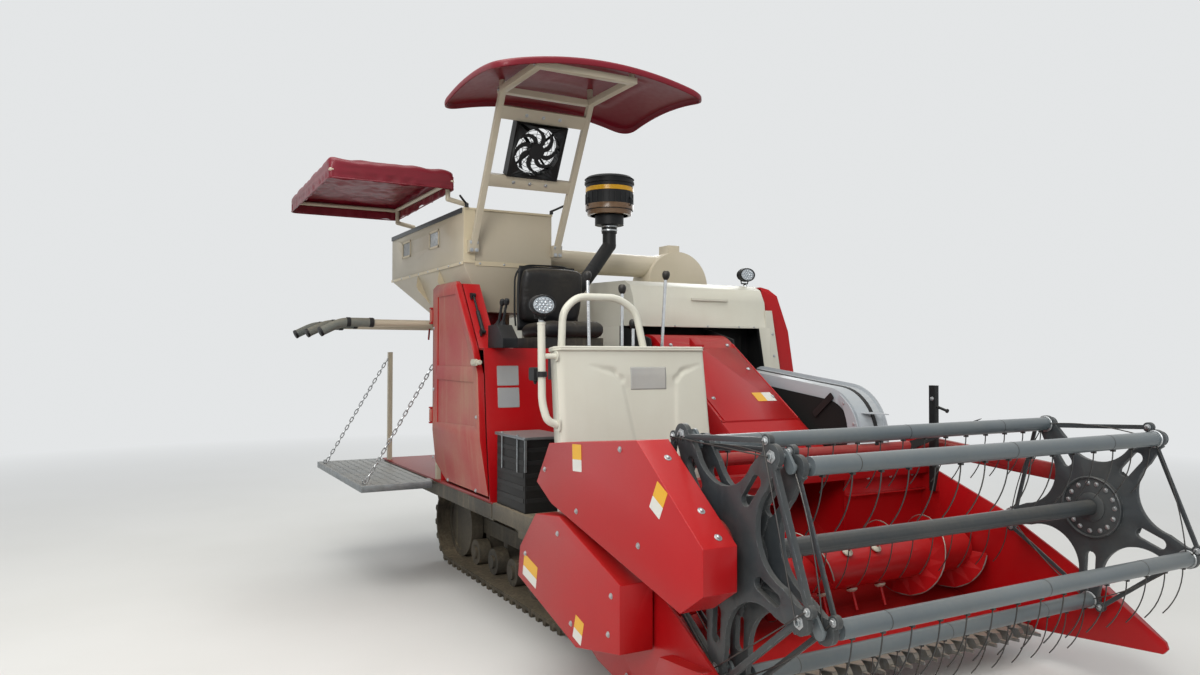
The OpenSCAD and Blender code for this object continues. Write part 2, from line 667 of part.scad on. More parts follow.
// Awning: a tube frame carried by two bent legs on the tank's edge
awning_x0 = -1740;
awning_x1 = awning_x0 + awning_l;
frame_in = 17.7;
awning_frame_z = awning_z - 70;
module awning_frame() color(cream) {
    x0 = awning_x0 + frame_in;
    x1 = awning_x1 - frame_in;
    y0 = right_y + frame_in;
    y1 = awning_y - frame_in;
    pipe([[x0, y1, awning_frame_z], [x0, y0, awning_frame_z], [x1, y0, awning_frame_z], [x1, y1,
        awning_frame_z],
        [x0, y1, awning_frame_z], [x0, (y0 + y1) / 2, awning_frame_z]], 12);
    for (x = [x0 + 60, x1 - 60])
        pipe([[x, y1 - 3, awning_frame_z], [x, y1 - 3, 2290], [x, tank_y0 + 20, 2268], [x, tank_y0 + 20,
            tank_top_z + run_gap]], 14);
}
module awning_canvas() color(red) difference() {
    upright(right_y, awning_y) polygon([[awning_x0, 2310], [awning_x1, awning_z - valance],
        [awning_x1, awning_z - 10], [awning_x1 - 60, awning_z], [awning_x0 + 60, awning_z - 30],
        [awning_x0, awning_z - 50]]);
    upright(right_y + 5, awning_y - 5) polygon([[awning_x0 + 5, 2310 - 40], [awning_x1 - 5,
        awning_z - valance - 40],
        [awning_x1 - 5, awning_z - 15], [awning_x1 - 62, awning_z - 5], [awning_x0 + 62, awning_z - 35],
        [awning_x0 + 5, awning_z - 55]]);
}

// Canopy: two leaning posts on the tank's front, a top frame and a domed shell
canopy_x = -60;
canopy_y = -590;
post_y = [-950, -420];
post_foot = [tank_x1 + 22, 2020];
post_head = [-170, 2800];
post_w = 32;
module post(y, from, to) {
    // Part of a post between two shares of its length
    a = post_foot + (post_head - post_foot) * from;
    b = post_foot + (post_head - post_foot) * to;
    upright(y - post_w / 2, y + post_w / 2) polygon([[a.x - 18, a.y], [a.x + 18, a.y], [b.x + 18, b.y],
        [b.x - 18, b.y]]);
}
dome_z = canopy_z - canopy_r;
module canopy_frame() color(cream) {
    for (y = post_y) {
        post(y, 0, 1);
        box(tank_x1, tank_x1 + 44, y - 30, y + 30, post_foot.y - 30, post_foot.y + 40);
        // Top bars from the posts forwards
        box(post_head.x - 22, post_head.x + 480, y - 20, y + 20, post_head.y - 1, post_head.y + 30);
    }
    // Cross bars above and below the fan
    for (dx = [-fan_s / 2 - run_gap - 70, fan_s / 2 + run_gap])
        at_fan() translate([dx, post_y[0] - fan_y, -14]) cube([70, post_y[1] - post_y[0], 28]);
    for (x = [post_head.x - 2, post_head.x + 460])
        box(x - 20, x + 20, post_y[0] - 20, post_y[1] + 20, post_head.y - 1, post_head.y + 30);
    // Pads that meet the shell
    intersection() {
        for (x = [post_head.x, post_head.x + 460]) for (y = post_y)
            translate([x, y, post_head.y + 28]) cylinder(h = 200, r = 16);
        translate([canopy_x, canopy_y, dome_z]) sphere(r = canopy_r - canopy_t - run_gap, $fn = 200);
    }
}
canopy_rim = 26;
module dome(in, r) intersection() {
    translate([canopy_x - canopy_l / 2 + in, canopy_y - canopy_w / 2 + in, canopy_z - 350])
        rounded_block(canopy_l - 2 * in, canopy_w - 2 * in, 450, 110 - in);
    translate([canopy_x, canopy_y, dome_z]) sphere(r = r, $fn = 200);
}
module canopy_shell() color(red) {
    difference() {
        dome(0, canopy_r);
        dome(canopy_t, canopy_r - canopy_t);
        // The rim turns down by its own depth
        translate([canopy_x, canopy_y, dome_z]) sphere(r = canopy_r - canopy_t - canopy_rim, $fn = 200);
    }
}
module rounded_block(l, w, h, r) linear_extrude(h) {
    translate([r, 0]) square([l - 2 * r, w]);
    translate([0, r]) square([l, w - 2 * r]);
    for (x = [r, l - r]) for (y = [r, w - r]) translate([x, y]) circle(r = r);
}

// Cooling fan between the two cross bars of the posts
fan_share = 0.675;
fan_mid = post_foot + (post_head - post_foot) * fan_share;
post_tilt = atan2(post_head.x - post_foot.x, post_head.y - post_foot.y);
fan_y = -690;
module at_fan() translate([fan_mid.x, fan_y, fan_mid.y]) rotate([0, post_tilt, 0]) rotate([0, 90, 0])
    children();
fan_s = fan_d + 40;
module fan_shroud() color("#181b1f") at_fan() {
    s = fan_s;
    difference() {
        translate([-s / 2, -s / 2, -30]) cube([s, s, 60]);
        translate([0, 0, -30 - eps]) cylinder(h = 60 + 2 * eps, r = fan_d / 2);
    }
    // Motor and its four spokes behind the blades
    translate([0, 0, -30]) cylinder(h = 22, r = 42);
    for (a = [45 : 90 : 315]) rotate(a) translate([30, -6, -30]) cube([fan_d / 2 - 25, 12, 8]);
    translate([0, 0, -10]) cylinder(h = 18, r = 6);
}
// Point on a blade's edge: t runs from 0 at the hub to 6 at the tip
function blade_point(t, wide) = let (r = 38 + (fan_d / 2 - 46) * t / 6, a = wide + 1.4 * t * t)
    r * [cos(a), sin(a)];
module fan_rotor() color("#101214") at_fan() {
    difference() {
        translate([0, 0, -6]) cylinder(h = 26, r = 45);
        translate([0, 0, -6 - eps]) cylinder(h = 16, r = 6 + run_gap);
    }
    // Sickle blades: each edge turns further round as it runs outwards
    for (k = [0 : fan_blades - 1]) rotate(k * 360 / fan_blades) linear_extrude(12)
        polygon(concat([for (t = [0 : 6]) blade_point(t, 0)], [for (t = [6 : -1 : 0]) blade_point(t,
            26 - 2 * t)]));
}

// Bagging platform: a folded steel tray hinged on the side beam and hung on two chains
platform_x1 = -920;
platform_x0 = platform_x1 - platform_l + 150;
platform_y1 = -1078;
platform_y0 = platform_y1 - platform_w;
fold_y = -1062;
folds_x = [platform_x0 + 60, platform_x1 - 140];
fold_z = platform_z - 12;
chains_x = [platform_x0 + 120, platform_x1 - 60];
chain_top = [-1046, 1360];
chain_foot = [platform_y0 + 30, platform_z + 12];
module bag_platform() color(steel) {
    difference() {
        box(platform_x0, platform_x1, platform_y0, platform_y1, platform_z - 40, platform_z);
        box(platform_x0 + 4, platform_x1 - 4, platform_y0 + 4, platform_y1 - 4, platform_z - 40 - eps,
            platform_z - 4);
    }
    for (x = [platform_x0 + 350, platform_x1 - 350])
        box(x - 20, x + 20, platform_y0 + 3, platform_y1 - 3, platform_z - 34, platform_z - 3);
    for (x = folds_x) difference() {
        union() {
            axle_x(x, x + 80, fold_y, fold_z, 13);
            box(x, x + 80, platform_y1 - 2, fold_y, fold_z - 5, fold_z + 5);
        }
        axle_x(x - eps, x + 80 + eps, fold_y, fold_z, 8);
    }
}
module platform_eyes() color(steel) {
    // Lugs welded on the tray, where the chains hook in
    for (x = chains_x) difference() {
        box(x - 3, x + 3, chain_foot.x - 12, chain_foot.x + 12, platform_z, platform_z + 26);
        axle_x(x - 4, x + 4, chain_foot.x, chain_foot.y, 7);
    }
}
module axle_x(x0, x1, y, z, r) translate([x0, y, z]) rotate([0, 90, 0]) cylinder(h = x1 - x0, r = r);
module platform_chains() color("#b9bcbe") {
    // Flat link chains from the tray's eyes to the posts above
    for (x = chains_x) {
        a = [chain_foot.x + 10, chain_foot.y + 21.6];
        d = chain_top - a;
        n = floor(norm(d) / 34);
        for (k = [0 : n - 1]) {
            p = a + d * (k + 0.5) / n;
            w = k % 2 == 0 ? [3, 10] : [10, 3];
            translate([x, p.x, p.y]) rotate([atan2(d.y, d.x), 0, 0])
                translate([-w.x, -norm(d) / n / 2 - 5, -w.y]) cube([2 * w.x, norm(d) / n + 10, 2 * w.y]);
        }
    }
}

// Lift cylinder between the chassis and the feeder house
lift_base = [50, 380];
lift_eye = [620, 500];
lift_y = beam_y;
lift_len = norm(lift_eye - lift_base);
lift_angle = atan2(lift_eye.y - lift_base.y, lift_eye.x - lift_base.x);
lift_pin = 15;
eye_pin = 12;
barrel_r = 35;
barrel_end = 505;
module along_lift() translate([lift_base.x, lift_y, lift_base.y]) rotate([0, 90 - lift_angle, 0])
    children();
module lift_barrel() color(charcoal) {
    difference() {
        union() {
            axle(lift_base.x, lift_base.y, lift_y - 29, lift_y + 29, 32);
            along_lift() translate([0, 0, 20]) cylinder(h = 40, r = barrel_r - 4);
            along_lift() translate([0, 0, 58]) cylinder(h = barrel_end - 58, r = barrel_r);
        }
        axle(lift_base.x, lift_base.y, lift_y - 60, lift_y + 60, lift_pin);
        along_lift() translate([0, 0, 45]) cylinder(h = barrel_end - 57, r = barrel_r - 8);
        along_lift() translate([0, 0, 45]) cylinder(h = barrel_end, r = 18);
    }
}
module lift_rod() color("#c8cacc") {
    along_lift() {
        translate([0, 0, 82]) cylinder(h = 26, r = barrel_r - 8 - run_gap);
        translate([0, 0, 82]) cylinder(h = lift_len - 82 - 26, r = 18 - run_gap);
    }
    difference() {
        axle(lift_eye.x, lift_eye.y, lift_y - 29, lift_y + 29, 34);
        axle(lift_eye.x, lift_eye.y, lift_y - 60, lift_y + 60, eye_pin + 11);
    }
}

// Feeder house: a sloping box that swings on its upper shaft
slope_dir = [cos(feeder_slope), -sin(feeder_slope)];
slope_up = [sin(feeder_slope), cos(feeder_slope)];
feeder_pivot = [pivot_x, pivot_z];
// Point of the feeder's middle line above x, moved up by s across the slope
function feeder_at(x, s) = let (k = (x - pivot_x - s * slope_up.x) / slope_dir.x)
    feeder_pivot + k * slope_dir + s * slope_up;
module feeder_area(half) {
    polygon([feeder_pivot - half * slope_up, feeder_at(back_x, -half), feeder_at(back_x, half),
        feeder_pivot + half * slope_up]);
    translate(feeder_pivot) circle(r = half);
}
feeder_t = 10;
module feeder_house() color(red) {
    difference() {
        upright(feeder_y0, feeder_y1) feeder_area(feeder_d / 2);
        upright(feeder_y0 + feeder_t, feeder_y1 - feeder_t) {
            feeder_area(feeder_d / 2 - feeder_t);
            polygon([feeder_at(back_x, feeder_t - feeder_d / 2) - [3, 0], feeder_at(back_x,
                feeder_t - feeder_d / 2) + [9, 0],
                feeder_at(back_x, feeder_d / 2 - feeder_t) + [9, 0], feeder_at(back_x,
                    feeder_d / 2 - feeder_t) - [3, 0]]);
        }
        // Mouth towards the thresher, and the bores for the upper shaft
        box(pivot_x - 200, pivot_x - 100, feeder_y0 + feeder_t, feeder_y1 - feeder_t, pivot_z - 200,
            pivot_z + 200);
        axle(pivot_x, pivot_z, feeder_y0 - eps, feeder_y1 + eps, 25);
    }
    // Raised cover on the upper half, and a latch block
    upright(feeder_y0 + 20, feeder_y1 - 20) polygon([feeder_at(-20, feeder_d / 2 - 1), feeder_at(520,
        feeder_d / 2 - 1),
        feeder_at(520, feeder_d / 2 + 8), feeder_at(-20, feeder_d / 2 + 8)]);
    upright(180, 240) polygon([feeder_at(-60, feeder_d / 2 - 1), feeder_at(0, feeder_d / 2 - 1),
        feeder_at(0, feeder_d / 2 + 34), feeder_at(-60, feeder_d / 2 + 34)]);
    // Bracket and pin for the rod of the lift cylinder
    for (s = [-1, 1]) upright(lift_y + s * 41 - 6, lift_y + s * 41 + 6) {
        polygon([feeder_at(530, 4 - feeder_d / 2), [582, 492], [658, 492], feeder_at(720,
            4 - feeder_d / 2)]);
        translate(lift_eye) circle(r = 36);
    }
    axle(lift_eye.x, lift_eye.y, lift_y - 44, lift_y + 44, eye_pin);
}

// Header: back wall, trough and floor between two end walls
half_w = header_w / 2;
wall_x = back_x + header_t;
knife_x = 1450;
floor_end = [knife_x, knife_z - 3];
trough = [auger_x, auger_z];
floor_reach = norm(floor_end - trough);
floor_turn = atan2(floor_end.y - trough.y, floor_end.x - trough.x) - acos(trough_r / floor_reach);
floor_start = trough + trough_r * [cos(floor_turn), sin(floor_turn)];
floor_down = header_t * [cos(floor_turn), sin(floor_turn)];
mouth_y0 = 0;
mouth_y1 = 480;
arm_pivot = [900, 930];
arm_tube_r = 30;
module header_trough() color(red) {
    difference() {
        upright(-half_w, half_w) polygon([[back_x, 300], [wall_x, 300], [wall_x, back_top_z], [back_x,
            back_top_z]]);
        box(back_x - eps, wall_x + eps, mouth_y0, mouth_y1, auger_z + 2, 790);
    }
    upright(-half_w, half_w) {
        // Sill that joins the wall to the trough, the trough's arc, and the floor
        polygon([[wall_x - eps, auger_z - 14], [auger_x - trough_r, auger_z - 14], [auger_x - trough_r,
            auger_z + 2],
            [wall_x - eps, auger_z + 2]]);
        difference() {
            translate(trough) circle(r = trough_r + header_t, $fn = 96);
            translate(trough) circle(r = trough_r, $fn = 96);
            translate([0, auger_z]) square([3000, 1000]);
            polygon([trough, trough + 400 * [cos(floor_turn), sin(floor_turn)], [2000, -400], [2000,
                auger_z]]);
        }
        polygon([floor_start, floor_start + floor_down, floor_end + [-60, -header_t], floor_end + [0,
            -header_t], floor_end]);
    }
    // Top beam and the two brackets of the reel's cross tube
    upright(-half_w, half_w) difference() {
        translate([back_x + eps, back_top_z - 40]) square(60);
        translate([back_x + eps + 5, back_top_z - 35]) square(50);
    }
    for (y = [-half_w + 80, half_w - 100]) difference() {
        upright(y - 10, y + 10) {
            translate(arm_pivot) circle(r = arm_tube_r + 20);
            translate([arm_pivot.x - 35, back_top_z + 19]) square([80, arm_pivot.y - back_top_z - 19]);
        }
        axle(arm_pivot.x, arm_pivot.y, y - 11, y + 11, arm_tube_r + run_gap);
    }
    // Long flat stop bar under the top beam
    for (y = [[-half_w, feeder_y0 + 20], [feeder_y1 - 20, half_w]])
        box(wall_x - eps, wall_x + 30, y[0], y[1], 700, 706);
}

end_side = [[back_x, 300], [1070, 200], [knife_x, 130], [2090, 190], [2110, 215], [2100, 240], [1840, 400],
    [1680, 490], [1360, 660], [940, 820], [back_x, 850]];
module header_end(side) color(red) {
    y0 = side > 0 ? half_w + run_gap : -half_w - header_t - run_gap;
    difference() {
        union() {
            upright(y0, y0 + header_t) polygon(end_side);
            // Pointed divider: a folded wedge outside the wall
            intersection() {
                upright(-1200, 1200) polygon([[1500, 150], [2090, 190], [2110, 215], [2100, 240], [1840,
                    400], [1600, 380]]);
                linear_extrude(900) polygon([[1500, side * (half_w + 2)], [2110, side * (half_w + 6)],
                    [2108, side * (half_w + 14)], [1800, side * (half_w + 62)], [1560,
                        side * (half_w + 62)],
                    [1500, side * (half_w + 13)]]);
            }
            axle(auger_x, auger_z, y0 - 14, y0 + header_t + 14, side > 0 ? 60 : 60);
        }
        axle(auger_x, auger_z, y0 - 15, y0 + header_t + 15, 25);
        if (side > 0) axle(auger_x, auger_z, y0 - 15, y0, 61);
        if (side < 0) axle(auger_x, auger_z, y0 + header_t, y0 + header_t + 15, 61);
    }
    // Height marker on the left wall
    if (side > 0) box(945, 985, half_w - 26, y0 + 1, 700, 1250);
}
module header_end_right() header_end(-1);
module header_end_left() header_end(1);

guard_z = knife_z - run_gap;
guards = floor((header_w - 60) / guard_pitch);
guards_y0 = -guards * guard_pitch / 2;
module cutter_bar() color("#6f7376") {
    box(knife_x - 45, knife_x + 4, -half_w + 2, half_w - 2, 100, floor_end.y - header_t - run_gap);
    box(knife_x + 3, knife_x + 14, -half_w + 2, half_w - 2, 100, guard_z - 4);
    for (k = [0 : guards]) translate([0, guards_y0 + k * guard_pitch, 0]) {
        upright(-13, 13) polygon([[knife_x + 3, 104], [knife_x + 70, 112], [knife_x + 92, 122],
            [knife_x + 92, 140], [knife_x + 80, guard_z], [knife_x + 3, guard_z]]);
        translate([knife_x + 80, 0, 122]) linear_extrude(14)
            polygon([[0, -13], [50, -3], [50, 3], [0, 13]]);
    }
}
knife_half = half_w - 45;
module knife() color("#a9adb0") {
    box(knife_x + 16, knife_x + 36, -knife_half, knife_half, knife_z, knife_z + 6);
    translate([0, 0, knife_z]) linear_extrude(3) for (k = [0 : guards - 2])
        translate([0, guards_y0 + (k + 1) * guard_pitch, 0])
        polygon([[knife_x + 20, -37], [knife_x + 36, -37], [knife_x + 84, -8], [knife_x + 84, 8],
            [knife_x + 36, 37],
            [knife_x + 20, 37]]);
}

auger_half = half_w - 15;
module flight(y0, y1, hand) {
    // A screw sheet between y0 and y1: hand is its sense of turning
    w = 360 * 6 / flight_pitch;
    translate([auger_x, y1, auger_z]) rotate([90, 0, 0])
        linear_extrude(height = y1 - y0, twist = hand * 360 * (y1 - y0) / flight_pitch,
            slices = round(14 * (y1 - y0) / flight_pitch), segments = 4, convexity = 10)
            polygon([for (r = [[auger_tube_r - 4, -1], [auger_r, -1], [auger_r, 1], [auger_tube_r - 4, 1]])
                r[0] * [cos(r[1] * w / 2), sin(r[1] * w / 2)]]);
}
finger_rows = [[20, 40], [80, 160], [140, 280], [200, 40], [260, 160], [320, 280], [380, 40], [440, 160]];
module auger() color(red) {
    axle(auger_x, auger_z, -auger_half, auger_half, auger_tube_r);
    axle(auger_x, auger_z, -half_w - header_t - 20, half_w + header_t + 10, 25 - run_gap);
    flight(-auger_half + 4, mouth_y0 + 10, -1);
    flight(mouth_y1 - 10, auger_half - 4, 1);
    // Fingers in front of the feeder's mouth
    for (f = finger_rows) translate([auger_x, f[0], auger_z]) rotate([0, f[1], 0]) {
        translate([-16, -16, 90]) cube([32, 32, 18]);
        cylinder(h = auger_r + 18, r = 7);
    }
}

// Drive covers on the right
lower_cover = [[620, 450], [1170, 300], [1500, 370], [1500, 610], [1020, 770], [800, 745], [640, 580]];
upper_cover = [[950, 810], [1870, 610], [1990, 690], [1990, 830], [1610, 1120], [930, 1050], [810, 880]];
cover_y0 = -half_w - 160;
cover_t = 5;
module knife_drive_cover() color(red) {
    open_shell(lower_cover, cover_y0, -half_w - 24, cover_t);
    // Stand-off posts to the end wall
    for (p = [[930, 560], [1380, 480], [1170, 640]])
        axle(p.x, p.y, cover_y0 + 2, -half_w - header_t - 2 * run_gap, 14);
    // Lip along the top edge
    upright(-half_w - 34, -half_w - 24) polygon([[1020, 768], [1500, 608], [1500, 628], [1020, 784]]);
}
module reel_drive_cover() color(red) open_shell(upper_cover, cover_y0, -half_w - 32, cover_t);

// Guard over the drive on the feeder house's left side: a tub between a small and a large round
guard_a = [-50, 1220];
guard_b = [660, 980];
guard_ra = 100;
guard_rb = 260;
guard_y0 = feeder_y1 + 50;
guard_y1 = guard_y0 + 170;
module guard_area(grow) {
    base = atan2(guard_b.y - guard_a.y, guard_b.x - guard_a.x);
    turn = acos((guard_ra - guard_rb) / norm(guard_b - guard_a));
    lo = [cos(base - turn), sin(base - turn)];
    hi = [cos(base + turn), sin(base + turn)];
    translate(guard_a) circle(r = guard_ra + grow);
    translate(guard_b) circle(r = guard_rb + grow);
    polygon([guard_a + (guard_ra + grow) * lo, guard_b + (guard_rb + grow) * lo,
        guard_b + (guard_rb + grow) * hi,
        guard_a + (guard_ra + grow) * hi]);
}
module drive_guard() color(grey) {
    difference() {
        union() {
            upright(guard_y0, guard_y1) guard_area(0);
            // Flange round the rim
            upright(guard_y1 - 8, guard_y1) guard_area(18);
        }
        upright(guard_y0 + 6, guard_y1 + eps) guard_area(-6);
        // Room for the reel's cross tube and the header's back wall
        axle(arm_pivot.x, arm_pivot.y, guard_y0 - eps, guard_y1 + eps, arm_tube_r + clear);
        box(arm_pivot.x, arm_pivot.x + 200, guard_y0 - eps, guard_y1 + eps,
            arm_pivot.y - arm_tube_r - clear,
            arm_pivot.y + arm_tube_r + clear);
        box(back_x - 8, back_x + 200, guard_y0 - eps, guard_y1 + eps, 600, arm_pivot.y - 50);
        // Ventilation slot along the face
        upright(guard_y0 - eps, guard_y0 + 7) for (k = [0 : 5]) translate(guard_b + [40 * k - 120, 40])
            square([24, 90]);
    }
    // Posts to the feeder house, and a flat stay plate over the front
    for (p = [[60, 1150], [380, 960], [600, 760]]) axle(p.x, p.y, feeder_y1 + run_gap, guard_y0 + 1, 16);
    translate([0, 0, 1112]) linear_extrude(5) polygon([[guard_b.x + 100, guard_y0 + 2], [1040,
        guard_y0 + 60],
        [guard_b.x + 100, guard_y1 - 2]]);
}

// Reel: arms, five-armed end plates, tine tubes, and the ring that keeps the tines upright
reel_c = [reel_x, reel_z];
ring_c = reel_c + [-ring_back, ring_up];
reel_shaft_r = 25;
ecc_r = 80;
arm_plate_y1 = -half_w - 28;
arm_plate_y0 = arm_plate_y1 - 14;
spider_y = -half_w + 116;
spider_left_y = half_w - 55;
ring_y = -half_w + 40;
tube_y0 = -half_w + 150;
tube_len = header_w - 180;
crank_y = tube_y0 - 77;
arm_left_y = half_w + 45;
module reel_arms() color(dark_red) {
    difference() {
        union() {
            upright(arm_plate_y0, arm_plate_y1) polygon(inset(upper_cover, cover_t + run_gap));
            // Box of the left arm, bent down to its bearing
            upright(arm_left_y, arm_left_y + 30) {
                polygon([[860, 900], [900, 880], [1640, 830], [1800, 725], [1895, 735], [1895, 785],
                    [1680, 900],
                    [900, 970], [860, 950]]);
                translate(reel_c) circle(r = 55);
            }
            axle(arm_pivot.x, arm_pivot.y, arm_plate_y1 - 1, arm_left_y + 1, arm_tube_r);
            // Fixed eccentric that carries the tine control ring
            axle(ring_c.x, ring_c.y, arm_plate_y1 - 1, ring_y + 4, ecc_r - run_gap);
            axle(ring_c.x, ring_c.y, ring_y + 4, ring_y + 10, ecc_r + 14);
            axle(ring_c.x, ring_c.y, arm_plate_y1 - 1, ring_y - 28, ecc_r + 10);
        }
        axle(reel_c.x, reel_c.y, arm_plate_y0 - 1, ring_y + 20, reel_shaft_r);
        axle(reel_c.x, reel_c.y, arm_left_y - 1, arm_left_y + 31, reel_shaft_r);
    }
}
function arm_angle(k) = 126 - k * 360 / tine_tubes + reel_phase;
function tube_at(k) = reel_c + reel_r * [cos(arm_angle(k)), sin(arm_angle(k))];
tip_r = 38;
module spider_area() {
    difference() {
        circle(r = reel_r);
        for (k = [0 : tine_tubes - 1]) rotate(arm_angle(k) + 36) {
            translate([357, 0]) circle(r = 162);
            polygon([[260, 0], [280.7, -143], [332.4, -194.2], [480, -250], [480, 250], [332.4, 194.2],
                [280.7, 143]]);
        }
        // Slot along each arm
        for (k = [0 : tine_tubes - 1]) rotate(arm_angle(k)) {
            translate([215, -22]) square([80, 44]);
            for (x = [215, 295]) translate([x, 0]) circle(r = 22);
        }
    }
    for (k = [0 : tine_tubes - 1]) {
        rotate(arm_angle(k)) translate([reel_r, 0]) circle(r = tip_r);
        rotate(arm_angle(k) + 6.5) translate([425, 0]) circle(r = 20);
    }
}
// Flat straps from tip to tip
module straps() for (k = [0 : tine_tubes - 1]) {
    a = 425 * [cos(arm_angle(k) + 6.5), sin(arm_angle(k) + 6.5)];
    b = 425 * [cos(arm_angle(k + 1) + 6.5), sin(arm_angle(k + 1) + 6.5)];
    translate(a) rotate(atan2(b.y - a.y, b.x - a.x)) translate([0, -9]) square([norm(b - a), 18]);
}
module reel_spiders() color(charcoal) {
    difference() {
        union() {
            for (y = [spider_y - spider_t, spider_left_y - spider_t]) {
                upright(y, y + spider_t) translate(reel_c) spider_area();
                upright(y + 7, y + 12) translate(reel_c) straps();
            }
            // Raised hub rims and gussets
            axle(reel_c.x, reel_c.y, spider_y - spider_t - 6, spider_y + 14, 130);
            axle(reel_c.x, reel_c.y, spider_left_y - spider_t - 14, spider_left_y + 6, 130);
            for (k = [0 : tine_tubes - 1]) for (y = [spider_y - spider_t - 4, spider_left_y - 1])
                upright(y, y + 5) translate(reel_c) rotate(arm_angle(k))
                    polygon([[80, -50], [200, -12], [200, 12], [80, 50]]);
            axle(reel_c.x, reel_c.y, spider_y - 1, spider_left_y - spider_t + 1, 32);
            axle(reel_c.x, reel_c.y, arm_plate_y0 - 6, arm_left_y + 37, reel_shaft_r - run_gap);
        }
        for (k = [0 : tine_tubes - 1]) {
            p = tube_at(k);
            axle(p.x, p.y, spider_y - spider_t - eps, spider_y + eps, 10);
            axle(p.x, p.y, spider_left_y - spider_t - eps, spider_left_y + eps, tube_r);
        }
    }
}
module tine_control_ring() color(charcoal) difference() {
    upright(ring_y - spider_t, ring_y) translate(ring_c) {
        spider_area();
        straps();
        circle(r = 130);
    }
    axle(ring_c.x, ring_c.y, ring_y - spider_t - eps, ring_y + eps, ecc_r);
    for (k = [0 : tine_tubes - 1]) {
        p = tube_at(k) + [-ring_back, ring_up];
        axle(p.x, p.y, ring_y - spider_t - eps, ring_y + eps, 8);
    }
}
tines = floor((tube_len - 130) / tine_pitch);
module tine_tube(k) {
    p = tube_at(k);
    q = p + [-ring_back, ring_up];
    color("#8f9498") {
        difference() {
            axle(p.x, p.y, tube_y0, tube_y0 + tube_len, tube_r - run_gap);
            axle(p.x, p.y, tube_y0 + 12, tube_y0 + tube_len + 1, tube_r - 5);
        }
        axle(p.x, p.y, crank_y + 2, tube_y0 + 1, 10 - run_gap);
        // Crank that the control ring holds upright
        upright(crank_y, crank_y + 10) {
            translate(p) circle(r = 20);
            translate(q) circle(r = 18);
            translate(p) rotate(atan2(ring_up, -ring_back)) translate([0, -16]) square([norm(q - p), 32]);
        }
        axle(q.x, q.y, ring_y - spider_t - 8, crank_y + 7, 8 - run_gap);
    }
    color("#202224") translate([p.x, 0, p.y]) for (n = [0 : tines]) {
        y = tube_y0 + 50 + n * tine_pitch;
        upright(y, y + tine_t) tine_area();
    }
}
module tine_area() polygon(concat(
    [for (a = [0 : tine_turn / 6 : tine_turn]) [-tine_r, 5 - tube_r] + (tine_r + 4) * [cos(a), -sin(a)]],
    [for (a = [tine_turn : -tine_turn / 6 : 0]) [-tine_r, 5 - tube_r] + (tine_r - 4) * [cos(a), -sin(a)]]));
module tine_tube_1() tine_tube(0);
module tine_tube_2() tine_tube(1);
module tine_tube_3() tine_tube(2);
module tine_tube_4() tine_tube(3);
module tine_tube_5() tine_tube(4);

// The reel's tips set the machine's front, and the whole stands over the origin
front_x = max([for (k = [0 : tine_tubes - 1]) max(tube_at(k).x + tip_r,
    reel_x + 425 * cos(arm_angle(k) + 6.5) + 20)]);
module place() translate([-(front_x + rear_x) / 2, -(left_y + right_y) / 2, 0]) children();

place() chassis_frame();
place() track_right();
place() track_left();
place() undercarriage_right();
place() undercarriage_left();
place() gearbox();
place() engine_block();
place() engine_housing();
place() operator_floor();
place() battery_box();
place() front_panel();
place() handrails();
place() work_lamps();
place() seat_base();
place() seat_cushion();
place() control_levers();
place() side_console();
place() thresher_body();
place() thresher_hood();
place() left_covers();
place() rear_hood();
place() grain_elevator();
place() air_precleaner();
place() grain_tank();
place() tank_outlets();
place() bag_rails();
place() awning_frame();
place() awning_canvas();
place() canopy_frame();
place() canopy_shell();
place() fan_shroud();
place() platform_chains();
place() engine_door();
place() bag_platform();
place() platform_eyes();
place() fan_rotor();
place() lift_barrel();
place() lift_rod();
place() feeder_house();
place() header_trough();
place() header_end_right();
place() header_end_left();
place() knife_drive_cover();
place() drive_guard();
place() cutter_bar();
place() knife();
place() auger();
place() reel_arms();
place() reel_drive_cover();
place() reel_spiders();
place() tine_control_ring();
place() tine_tube_1();
place() tine_tube_2();
place() tine_tube_3();
place() tine_tube_4();
place() tine_tube_5();
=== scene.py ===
# %% [markdown]
# # A tracked rice combine harvester
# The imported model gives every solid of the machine, in metres, with +X forwards, +Y to its left and +Z up.
# This lesson dresses those solids: rounded sheet edges, dusty paint, rubber, moulded plastic and a sewn
# awning. A piece that needs a finer shape than its solid is built here and takes the solid's place.

# %% Load the frame
import json
import math
import bmesh
import bpy
from mathutils import Matrix, Vector, noise


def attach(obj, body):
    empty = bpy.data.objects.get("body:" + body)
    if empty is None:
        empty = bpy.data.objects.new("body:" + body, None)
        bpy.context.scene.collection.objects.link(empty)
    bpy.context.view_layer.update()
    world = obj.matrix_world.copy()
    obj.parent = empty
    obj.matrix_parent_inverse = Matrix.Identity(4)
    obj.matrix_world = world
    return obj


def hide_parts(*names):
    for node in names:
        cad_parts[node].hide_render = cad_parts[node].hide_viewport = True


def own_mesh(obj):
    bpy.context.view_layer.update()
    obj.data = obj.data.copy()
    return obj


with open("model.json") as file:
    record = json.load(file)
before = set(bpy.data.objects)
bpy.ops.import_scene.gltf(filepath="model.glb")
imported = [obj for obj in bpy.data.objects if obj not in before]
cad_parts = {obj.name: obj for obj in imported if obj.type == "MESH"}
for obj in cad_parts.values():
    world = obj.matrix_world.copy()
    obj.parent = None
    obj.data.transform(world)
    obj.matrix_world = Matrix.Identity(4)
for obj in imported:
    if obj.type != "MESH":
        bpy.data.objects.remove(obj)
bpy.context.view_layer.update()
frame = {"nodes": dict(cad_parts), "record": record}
BODY_OF = {n: b for b, names in frame["record"]["behaviour"]["bodies"].items() for n in names}

